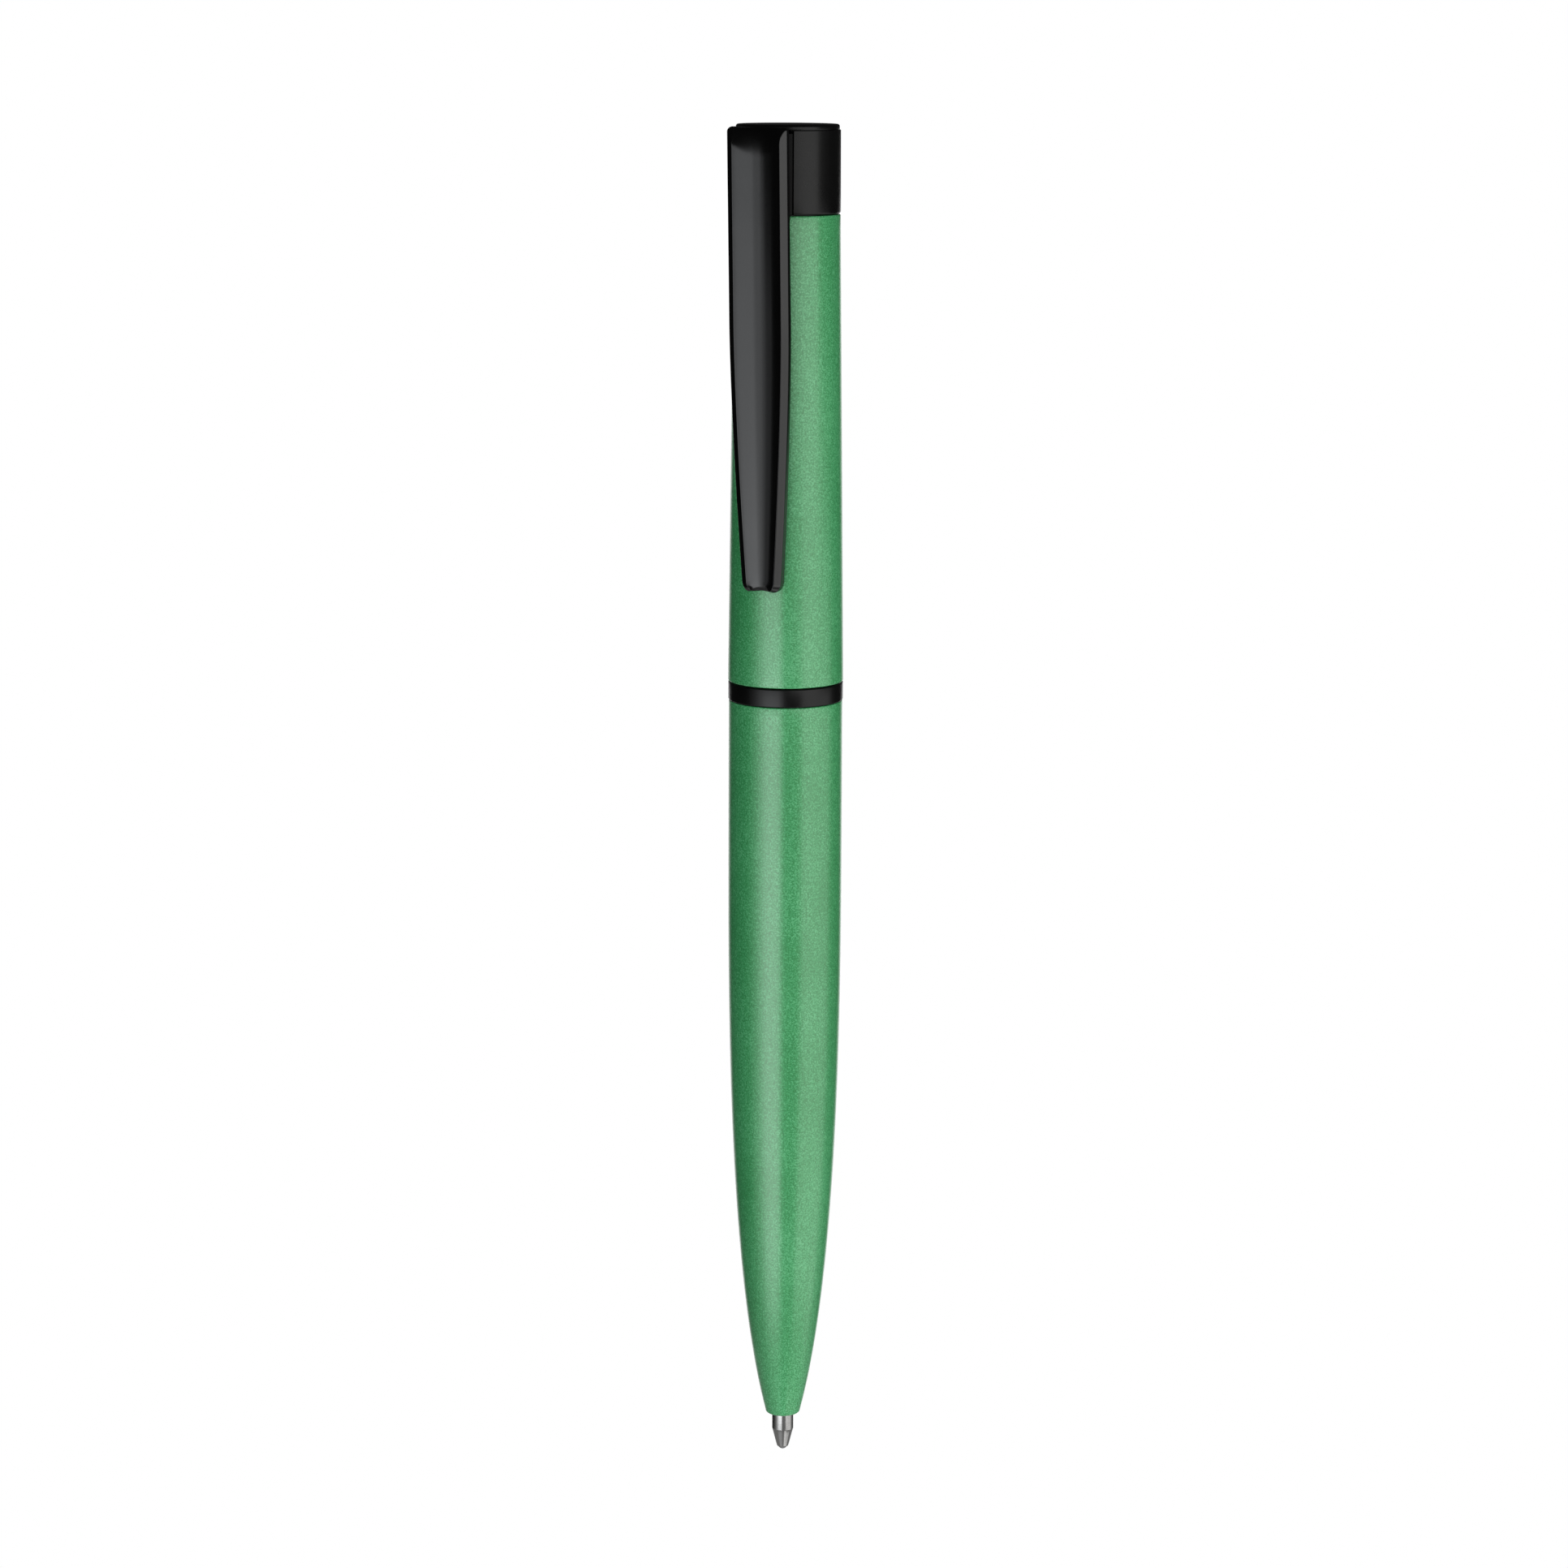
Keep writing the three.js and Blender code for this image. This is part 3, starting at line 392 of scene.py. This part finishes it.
SMOOTH = smooth_group()
slot_of = {row["node"]: row["material_slot"] for row in frame["record"]["subparts"]}
for name, node in frame["nodes"].items():
    dress(node, slot_of[name])
    node.modifiers.new("smooth_faces", "NODES").node_group = SMOOTH


def stand_for(piece, nodes, body, slot):
    """A finer piece in place of CAD nodes, riding on their body with their finish."""
    dress(piece, slot)
    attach(piece, body)
    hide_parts(*nodes)


# Lower barrel, ring and point
def lower_side():
    """Outline of the lower barrel's side, from its top edge down to the nose."""
    start = LOWER_HIGH - TAPER_START
    swell = bezier([
        (LOWER_TOP_RADIUS, LOWER_HIGH - BARREL_EDGE),
        (LOWER_RADIUS, LOWER_HIGH - TAPER_START / 2),
        (LOWER_RADIUS, start),
    ], 16)
    taper = bezier([
        (LOWER_RADIUS, start),
        (LOWER_RADIUS, start - TAPER_HOLD),
        (LOWER_RADIUS, LOWER_LOW + NOSE_HOLD),
        (NOSE_RADIUS, LOWER_LOW + NOSE_EDGE),
    ], 90)
    return swell + taper[1:]


def lower_barrel():
    """Barrel with its edges rounded, and the bores for the point, the spring, the refill and the insert."""
    side = lower_side()
    socket = LOWER_HIGH - SOCKET_DEPTH
    seat = BALL_LOW + SPRING_SEAT
    shoulder = BALL_LOW + POINT_LENGTH + NECK_LENGTH
    inside = []
    for radius, height in side[::3]:
        if radius - LOWER_WALL > REFILL_BORE and height < socket - SOCKET_STEP:
            inside.append((radius - LOWER_WALL, height))
    outline = [(LOWER_BORE, LOWER_HIGH)]
    outline += arc(LOWER_TOP_RADIUS - BARREL_EDGE, LOWER_HIGH - BARREL_EDGE, BARREL_EDGE, 90, 0, 6)
    outline += side[1:-1]
    outline += arc(NOSE_RADIUS - NOSE_EDGE, LOWER_LOW + NOSE_EDGE, NOSE_EDGE, 0, -90, 8)
    outline += [(POINT_BORE + POINT_BORE_EDGE, LOWER_LOW), (POINT_BORE, LOWER_LOW + POINT_BORE_EDGE)]
    outline += [(POINT_BORE, seat), (SPRING_BORE, seat)]
    outline += [(SPRING_BORE, shoulder + SPRING_ROOM), (REFILL_BORE, shoulder + REFILL_ROOM)]
    outline += inside[::-1] + [(LOWER_BORE, socket)]
    return lathe("barrel_lower_skin", outline)


def centre_ring():
    outline = [(RING_BORE, RING_LOW)]
    outline += arc(RING_RADIUS - RING_EDGE, RING_LOW + RING_EDGE, RING_EDGE, -90, 0, 6)
    outline += arc(RING_RADIUS - RING_EDGE, RING_HIGH - RING_EDGE, RING_EDGE, 0, 90, 6)
    outline += [(RING_BORE, RING_HIGH)]
    return lathe("ring_skin", outline)


def point():
    """The point's metal: cylinder, crisp shoulder, straight cone and the lip rolled in round the ball."""
    cone_top = BALL_LOW + POINT_CONE
    lip_root = BALL_LOW + LIP_ROOT_HEIGHT
    outline = [(POINT_CHANNEL, POINT_TOP), (POINT_CHANNEL, BALL_LOW + CHANNEL_END)]
    outline += arc(0, BALL_LOW + BALL_RADIUS, BALL_SOCKET, SOCKET_TOP_ANGLE, SOCKET_LIP_ANGLE, 12)
    outline += [(radius, BALL_LOW + height) for radius, height in POINT_LIP]
    for share in (0, 0.2, 0.5, 0.8, 0.97):
        outline.append((mix(LIP_ROOT_RADIUS, POINT_RADIUS, share), mix(lip_root, cone_top, share)))
    outline += [(POINT_RADIUS, cone_top + POINT_SHOULDER), (POINT_RADIUS, POINT_TOP - POINT_CHAMFER)]
    outline += [(POINT_RADIUS - POINT_CHAMFER, POINT_TOP)]
    return lathe("point_metal", outline, sides=96, sharp=POINT_SHARP_ANGLE)


def ball():
    outline = [(0, BALL_LOW)]
    outline += arc(0, BALL_LOW + BALL_RADIUS, BALL_RADIUS, -90, 90, 32)[1:-1]
    outline += [(0, BALL_LOW + 2 * BALL_RADIUS)]
    return lathe("ball_metal", outline, sides=64)


# Upper barrel, cap and plate
def upper_side(height):
    """Radius of the upper barrel at a height."""
    share = height / UPPER_LENGTH
    return mix(UPPER_SEAM, UPPER_TOP, share) + 4 * UPPER_SWELL * share * (1 - share)


def upper_barrel():
    outline = [(UPPER_BORE, 0)]
    outline += arc(upper_side(0) - BARREL_EDGE, BARREL_EDGE, BARREL_EDGE, -90, 0, 6)[:-1]
    for i in range(41):
        height = mix(BARREL_EDGE, SEAM_TOP - BARREL_EDGE, i / 40)
        outline.append((upper_side(height), height))
    outline += arc(UPPER_TOP - BARREL_EDGE, SEAM_TOP - BARREL_EDGE, BARREL_EDGE, 0, 90, 6)[1:]
    outline += [(UPPER_BORE, SEAM_TOP)]
    return lathe("barrel_upper_skin", outline)


def top_cap():
    """The cap's wall, open at the front for the clip's web, over its spigot and under its roof."""
    spigot = [
        (CAP_BORE, CAP_LOW - SPIGOT_LENGTH),
        (SPIGOT_RADIUS - SPIGOT_EDGE, CAP_LOW - SPIGOT_LENGTH),
        (SPIGOT_RADIUS, CAP_LOW - SPIGOT_LENGTH + SPIGOT_EDGE),
        (SPIGOT_RADIUS, CAP_LOW),
        (CAP_BORE, CAP_LOW),
    ]
    roof = [
        (STEM_BORE, CAP_TOP - CAP_ROOF),
        (CAP_BORE, CAP_TOP - CAP_ROOF),
        (CAP_BORE, CAP_TOP),
        (STEM_BORE, CAP_TOP),
    ]
    wall = [(CAP_BORE, CAP_LOW)]
    wall += arc(CAP_BASE_RADIUS - CAP_EDGE, CAP_LOW + CAP_EDGE, CAP_EDGE, -90, 0, 8)
    for share in (0.2, 0.4, 0.6, 0.8, 1):
        radius = mix(CAP_BASE_RADIUS, CAP_TOP_RADIUS, share)
        wall.append((radius, mix(CAP_LOW + CAP_EDGE, CAP_TOP - CAP_RIM, share)))
    wall += [(CAP_TOP_RADIUS - CAP_RIM, CAP_TOP), (CAP_BORE, CAP_TOP)]
    rings = []
    for i in range(151):
        ring = []
        for radius, height in wall:
            open_half = math.asin(WINDOW_HALF / radius)
            angle = -math.pi / 2 + mix(open_half, 2 * math.pi - open_half, i / 150)
            ring.append((radius * math.cos(angle), radius * math.sin(angle), height))
        rings.append(ring)
    # The roof is cut flat at the front, where the clip's web stands in the window
    roof_verts, roof_faces = turned_faces(roof)
    roof_verts = [(x, max(y, -WINDOW_END), z) for x, y, z in roof_verts]
    return gather("cap_skin", [turned_faces(spigot), (roof_verts, roof_faces), lofted_faces(rings)])


def cap_plate():
    """Flat disc with rounded edges on a short stem that runs down into the cap's roof."""
    outline = [(0, CAP_TOP - STEM_LENGTH), (STEM_RADIUS, CAP_TOP - STEM_LENGTH), (STEM_RADIUS, CAP_TOP)]
    outline += arc(PLATE_RADIUS - PLATE_FOOT, CAP_TOP + PLATE_FOOT, PLATE_FOOT, -90, 0, 4)
    outline += arc(PLATE_RADIUS - PLATE_EDGE, PLATE_TOP - PLATE_EDGE, PLATE_EDGE, 0, 90, 10)
    outline += [(0, PLATE_TOP)]
    return lathe("plate_skin", outline)


# Clip: the bar, then the web and the tongue behind it
def clip_edge(height):
    """Distance from the axis to the front of the clip's sides at a height."""
    return mix(CLIP_TIP_REACH, CLIP_TOP_REACH, (height - CLIP_LOW) / (CLIP_HIGH - CLIP_LOW))


def clip_back(height):
    """Distance from the axis to the clip's back at a height."""
    return clip_edge(height) - mix(CLIP_TIP_SIDE, CLIP_TOP_SIDE, (height - CLIP_LOW) / (CLIP_HIGH - CLIP_LOW))


def corner_inset(distance, width, height):
    """How far a round corner draws in the clip's side, at a distance from the clip's end."""
    share = min(1, distance / height)
    return width * (1 - math.sqrt(1 - (1 - share) ** 2))


def clip_half_width(height):
    """Half the clip's width at a height, drawn in at its rounded corners."""
    below = max(0, CLIP_HIGH - CLIP_TAPER_START - height)
    taper = (below / (CLIP_HIGH - CLIP_LOW - CLIP_TAPER_START)) ** CLIP_TAPER_POWER
    half = mix(CLIP_TOP_WIDTH, CLIP_TIP_WIDTH, taper) / 2
    half -= corner_inset(CLIP_HIGH - height, CLIP_TOP_CORNER, CLIP_TOP_CORNER)
    return half - corner_inset(height - CLIP_LOW, CLIP_TIP_CORNER, CLIP_TIP_CORNER_HEIGHT)


def roll_recess(distance, start, depth):
    """How far the front has rolled back, at a distance from the clip's end."""
    share = min(1, max(0, 1 - distance / start))
    return depth * (1 - math.sqrt(1 - share * share))


def smooth_min(a, b, blend):
    """The lesser of two values, rounded where they meet."""
    overlap = max(0, blend - abs(a - b)) / blend
    return min(a, b) - overlap * overlap * blend / 4


def clip_reach(x, height, half):
    """Distance of the clip's front from the axis: the hollow land, a little lower on the left as seen from
    the front, the bevels and the rounded outer edges."""
    from_top, from_tip = CLIP_HIGH - height, height - CLIP_LOW
    crest = half - CLIP_BEVEL_WIDTH
    lean = math.tan(math.radians(CLIP_LEAN)) * max(-crest, min(crest, x))
    ridge = clip_edge(height) + CLIP_BEVEL_DEPTH + math.copysign(crest, x) * math.tan(math.radians(CLIP_LEAN))
    hollow_radius = crest / math.sin(math.radians(CLIP_HOLLOW_ANGLE))
    inner = min(abs(x), crest)
    share = 1 - (inner / crest) ** 2
    hollow = math.sqrt(hollow_radius**2 - inner**2) - math.sqrt(hollow_radius**2 - crest**2)
    land = clip_edge(height) + CLIP_BEVEL_DEPTH + lean - hollow
    for distance, roll, filled in ((from_top, TOP_ROLL, hollow), (from_tip, TIP_ROLL, 0)):
        start = roll["height"] + roll["crescent"] * share
        land -= roll_recess(distance, start, roll["depth"] - filled)
    bevel = mix(clip_edge(height), ridge, (half - abs(x)) / CLIP_BEVEL_WIDTH)
    reach = smooth_min(land, bevel, CLIP_RIDGE_BLEND)
    past = max(0, abs(x) - (half - CLIP_SIDE_EDGE)) / CLIP_SIDE_EDGE
    return reach - CLIP_SIDE_EDGE * (1 - math.sqrt(1 - min(1, past) ** 2))


def clip_ring(height):
    """Closed ring of points round the clip's bar at a height, arched up or down at its ends."""
    half = clip_half_width(height)
    crest = half - CLIP_BEVEL_WIDTH
    across = [-crest + 2 * crest * i / 24 for i in range(1, 24)]
    for side in (-1, 1):
        across += [side * (crest + step) for step in RIDGE_STEPS]
        across += [side * mix(crest + BEVEL_START, half - CLIP_SIDE_EDGE, i / 4) for i in range(5)]
        across += [side * (half - CLIP_SIDE_EDGE * step) for step in SIDE_EDGE_STEPS]
    near_top = max(0, 1 - (CLIP_HIGH - height) / (TOP_ROLL["height"] + TOP_ROLL["crescent"]))
    near_tip = max(0, 1 - (height - CLIP_LOW) / CLIP_TIP_CORNER_HEIGHT)
    front, rear = [], []
    for x in sorted(across):
        arch = 1 - (x / half) ** 2
        level = height + arch * (CLIP_TIP_ARCH * near_tip - CLIP_TOP_ARCH * near_top)
        front.append((x, -clip_reach(x, height, half), level))
        rear.insert(0, (x, -clip_back(height), level))
    return front + rear


def clip_bar():
    """The bar from its tip to its top, in rings that are closer where the ends round."""
    heights = [CLIP_LOW + rise for rise in TIP_RISES]
    roll = TOP_ROLL["height"] + TOP_ROLL["crescent"]
    heights += [mix(heights[-1], CLIP_HIGH - roll, i / 60) for i in range(1, 60)]
    heights += [CLIP_HIGH - roll + roll * math.sin(math.radians(90 * i / 36)) for i in range(37)]
    return lofted_faces([clip_ring(height) for height in heights])


def clip_web():
    """Web from the bar into the cap, and the gusset below it, in slices across the clip."""
    top = CAP_TOP - WEB_DROP
    web_low = CAP_LOW + WEB_FOOT
    gusset_top = UPPER_LENGTH
    foot = gusset_top - GUSSET_DROP
    room = UPPER_TOP + WEB_PLAY
    slices = []
    for i in range(41):
        x = mix(-WEB_WIDTH / 2, WEB_WIDTH / 2, i / 40)
        near = max(UPPER_TOP, math.sqrt(room**2 - x * x))
        slices.append([
            (x, -WEB_INSIDE, top),
            (x, -WEB_INSIDE, web_low),
            (x, -near, web_low),
            (x, -near, gusset_top),
            (x, -clip_back(foot) - CLIP_TOP_SIDE / 2, foot),
            (x, -clip_back(top) - CLIP_TOP_SIDE / 2, top - WEB_CORNER),
            (x, -clip_back(top) - CLIP_TOP_SIDE / 2, top),
        ])
    return lofted_faces(slices)


def clip_tongue():
    """Tongue that takes the hinge pin, its hole open towards the axis by a hair's width."""
    centre = CAP_LOW + HINGE_HEIGHT
    low, high = centre - TONGUE_HEIGHT / 2, centre + TONGUE_HEIGHT / 2
    outline = [(-TONGUE_ROOT, low), (-TONGUE_ROOT, high), (-TONGUE_TIP, high)]
    outline.append((-TONGUE_TIP, centre + HINGE_SLIT))
    for i in range(25):
        angle = math.radians(mix(HINGE_SLIT_ANGLE, 360 - HINGE_SLIT_ANGLE, i / 24))
        outline.append((-HINGE_OFFSET + HINGE_HOLE * math.cos(angle), centre + HINGE_HOLE * math.sin(angle)))
    outline += [(-TONGUE_TIP, centre - HINGE_SLIT), (-TONGUE_TIP, low)]
    return lofted_faces([[(side * TONGUE_WIDTH / 2, y, z) for y, z in outline] for side in (-1, 1)])


def clip():
    return gather("clip_skin", [clip_bar(), clip_web(), clip_tongue()], sharp=CLIP_SHARP_ANGLE)


stand_for(lower_barrel(), ["lower_barrel"], "lower", "green_paint")
stand_for(centre_ring(), ["centre_ring"], "lower", "black_paint")
stand_for(point(), ["point_holder"], "refill", "nickel")
stand_for(ball(), ["ball"], "ball", "steel")
stand_for(upper_barrel(), ["upper_barrel"], "upper", "green_paint")
stand_for(top_cap(), ["top_cap"], "upper", "black_paint")
stand_for(cap_plate(), ["cap_plate"], "upper", "black_paint")
stand_for(clip(), ["clip"], "clip", "black_lacquer")


# Floor and camera: lengths in metres, angles in degrees, sensor and focal length in millimetres
FLOOR_HEIGHT, FLOOR_HALF = -0.85, 1.5
FLOOR_COLOUR, FLOOR_ROUGHNESS = (0.45, 0.45, 0.445), 0.7
CAMERA_AZIMUTH, CAMERA_PITCH = 22.0, 11.1
CAMERA_AWAY, CAMERA_ABOVE = 391.54 * MM, 65.85 * MM
CAMERA_TURN, CAMERA_LEAN = 0.018, 0.23
SENSOR_WIDTH, FOCAL_LENGTH = 36, 88.62

# Distances from the axis to the soft panels and to the two low ones, in metres
PANEL_DISTANCE, LOW_DISTANCE = 0.6, 0.25

# The fill in the world: its direction, its darkest and brightest shares, and the cosine where it starts
FILL_ANGLE, FILL_RISE = 60, 30
FILL_DARK, FILL_BRIGHT, FILL_START = 0.03, 1.45, -0.5

# The white ground that reflections meet behind the pen: its elevation, half angle and soft rim, in degrees
BACKDROP_RISE, BACKDROP_HALF_ANGLE, BACKDROP_RIM = -11, 8, 1.5


def white_stage():
    """Pale floor well under the held pen, that the camera sees as the photograph's clean white ground."""
    size = FLOOR_HALF / MM
    level = FLOOR_HEIGHT / MM
    corners = [(-size, -size, level), (size, -size, level), (size, size, level), (-size, size, level)]
    floor = new_object("floor", corners, [[0, 1, 2, 3]])
    mat = bpy.data.materials.new("floor")
    mat.use_nodes = True
    tree = mat.node_tree
    shader = tree.nodes["Principled BSDF"]
    shader.inputs["Base Color"].default_value = (*FLOOR_COLOUR, 1)
    shader.inputs["Roughness"].default_value = FLOOR_ROUGHNESS
    glow = tree.nodes.new("ShaderNodeEmission")
    glow.inputs["Color"].default_value = (1, 1, 1, 1)
    seen = tree.nodes.new("ShaderNodeLightPath")
    blend = tree.nodes.new("ShaderNodeMixShader")
    tree.links.new(seen.outputs["Is Camera Ray"], blend.inputs[0])
    tree.links.new(shader.outputs[0], blend.inputs[1])
    tree.links.new(glow.outputs[0], blend.inputs[2])
    tree.links.new(blend.outputs[0], tree.nodes["Material Output"].inputs["Surface"])
    floor.data.materials.append(mat)


def world_light(ambient, dim, backdrop):
    """White behind the pen for the camera, dim round it for reflections, and a soft fill from the front
    right."""
    world = bpy.data.worlds.new("studio")
    bpy.context.scene.world = world
    world.use_nodes = True
    tree = world.node_tree

    def math_node(operation, first, second):
        node = tree.nodes.new("ShaderNodeMath")
        node.operation = operation
        for socket, value in zip(node.inputs, (first, second)):
            if isinstance(value, (int, float)):
                socket.default_value = value
            else:
                tree.links.new(value, socket)
        return node.outputs[0]

    def towards(azimuth, elevation):
        """Cosine of the angle between a ray and a direction given in degrees."""
        dot = tree.nodes.new("ShaderNodeVectorMath")
        dot.operation = "DOT_PRODUCT"
        around, up = math.radians(azimuth), math.radians(elevation)
        flat = math.cos(up)
        dot.inputs[1].default_value = (math.sin(around) * flat, -math.cos(around) * flat, math.sin(up))
        tree.links.new(place.outputs["Generated"], dot.inputs[0])
        return dot.outputs["Value"]

    seen = tree.nodes.new("ShaderNodeLightPath")
    place = tree.nodes.new("ShaderNodeTexCoord")
    edge = tree.nodes.new("ShaderNodeMapRange")
    edge.interpolation_type = "SMOOTHSTEP"
    edge.inputs["From Min"].default_value = math.cos(math.radians(BACKDROP_HALF_ANGLE + BACKDROP_RIM))
    edge.inputs["From Max"].default_value = math.cos(math.radians(BACKDROP_HALF_ANGLE - BACKDROP_RIM))
    edge.inputs["To Min"].default_value = dim
    edge.inputs["To Max"].default_value = backdrop
    tree.links.new(towards(CAMERA_AZIMUTH + 180, BACKDROP_RISE), edge.inputs["Value"])
    mirror = math_node("MAXIMUM", seen.outputs["Is Glossy Ray"], seen.outputs["Is Transmission Ray"])
    reflected = math_node("MULTIPLY", mirror, edge.outputs["Result"])
    facing = towards(CAMERA_AZIMUTH + FILL_ANGLE, FILL_RISE)
    slope = spread(tree, facing, ambient * FILL_DARK, ambient * FILL_BRIGHT, FILL_START, 1)
    diffuse = math_node("MULTIPLY", math_node("SUBTRACT", 1.0, mirror), slope)
    lit = math_node("ADD", reflected, diffuse)
    level = math_node("MAXIMUM", lit, seen.outputs["Is Camera Ray"])
    ground = tree.nodes["Background"]
    ground.inputs["Color"].default_value = (1, 1, 1, 1)
    tree.links.new(level, ground.inputs["Strength"])


def soft_panel(name, start, end, low, high, radiance, colour=(1, 1, 1), distance=PANEL_DISTANCE):
    """Upright soft light that faces the axis, between two angles to the right of the camera and between
    two elevations, at a distance in metres."""
    bottom, top = (distance * math.tan(math.radians(angle)) for angle in (low, high))
    width = 2 * distance * math.tan(math.radians(end - start) / 2)
    light = bpy.data.lights.new(name, "AREA")
    light.shape = "RECTANGLE"
    light.size, light.size_y = width, top - bottom
    light.energy = radiance * math.pi * width * (top - bottom)
    light.color = colour
    made = bpy.data.objects.new(name, light)
    bpy.context.scene.collection.objects.link(made)
    around = math.radians(CAMERA_AZIMUTH + (start + end) / 2)
    made.location = (math.sin(around) * distance, -math.cos(around) * distance, (bottom + top) / 2)
    made.rotation_mode = "QUATERNION"
    made.rotation_quaternion = Vector((-made.location.x, -made.location.y, 0)).to_track_quat("-Z", "Y")
    made.visible_camera = False


def place_camera():
    """Long lens, round from the clip's front and looking down, leaning a little as the photograph does."""
    data = bpy.data.cameras.new("camera")
    camera = bpy.data.objects.new("camera", data)
    bpy.context.scene.collection.objects.link(camera)
    bpy.context.scene.camera = camera
    data.sensor_width = SENSOR_WIDTH
    data.lens = FOCAL_LENGTH
    around = math.radians(CAMERA_AZIMUTH)
    camera.location = (math.sin(around) * CAMERA_AWAY, -math.cos(around) * CAMERA_AWAY, CAMERA_ABOVE)
    camera.rotation_mode = "QUATERNION"
    level = Euler((math.radians(90 - CAMERA_PITCH), 0, around), "XYZ").to_quaternion()
    turn = Quaternion((0, 1, 0), math.radians(CAMERA_TURN))
    lean = Quaternion((0, 0, 1), math.radians(CAMERA_LEAN))
    camera.rotation_quaternion = level @ turn @ lean


# Soft boxes as rows of panels: two angles from the camera, two elevations in degrees, and radiance
COOL, WARM = (0.95, 0.975, 1.0), (1.0, 1.0, 0.99)
LEFT_PANELS = [
    (-42, -8, -36, -7.3, 2.6),
    (-49, -42, -36, -7.3, 1.95),
    (-42, -8, -7.3, 2, 1.75),
    (-49, -42, -7.3, 2, 1.2),
    (-55, -49, -36, 2, 1.25),
    (-61, -55, -36, 0, 0.8),
    (-74, -61, -36, -2, 0.36),
]
RIGHT_PANELS = [
    (32, 62, -36, -5, 1.25),
    (62, 84, -36, -5, 1.1),
    (84, 97, -36, -5, 0.95),
    (97, 104, -36, -5, 0.5),
    (22, 84, -5, -3.5, 1.25),
    (14, 77, -3.5, -2, 1.4),
    (6, 70, -2, 12, 1.45),
]

white_stage()
world_light(ambient=0.74, dim=0.02, backdrop=1.0)
for side, panels, colour in (("left", LEFT_PANELS, COOL), ("right", RIGHT_PANELS, WARM)):
    for i, panel in enumerate(panels):
        soft_panel(f"{side}_panel_{i + 1}", *panel, colour)
# Two panels lower and nearer, for the faces that look down
soft_panel("left_low_panel", -60, -12, -65, -53, 0.25, COOL, LOW_DISTANCE)
soft_panel("right_low_panel", 24, 92, -65, -53, 0.9, WARM, LOW_DISTANCE)
soft_panel("back_panel", 155, 205, -37, 2, 1.2)
place_camera()

bpy.context.scene.view_settings.view_transform = "Standard"
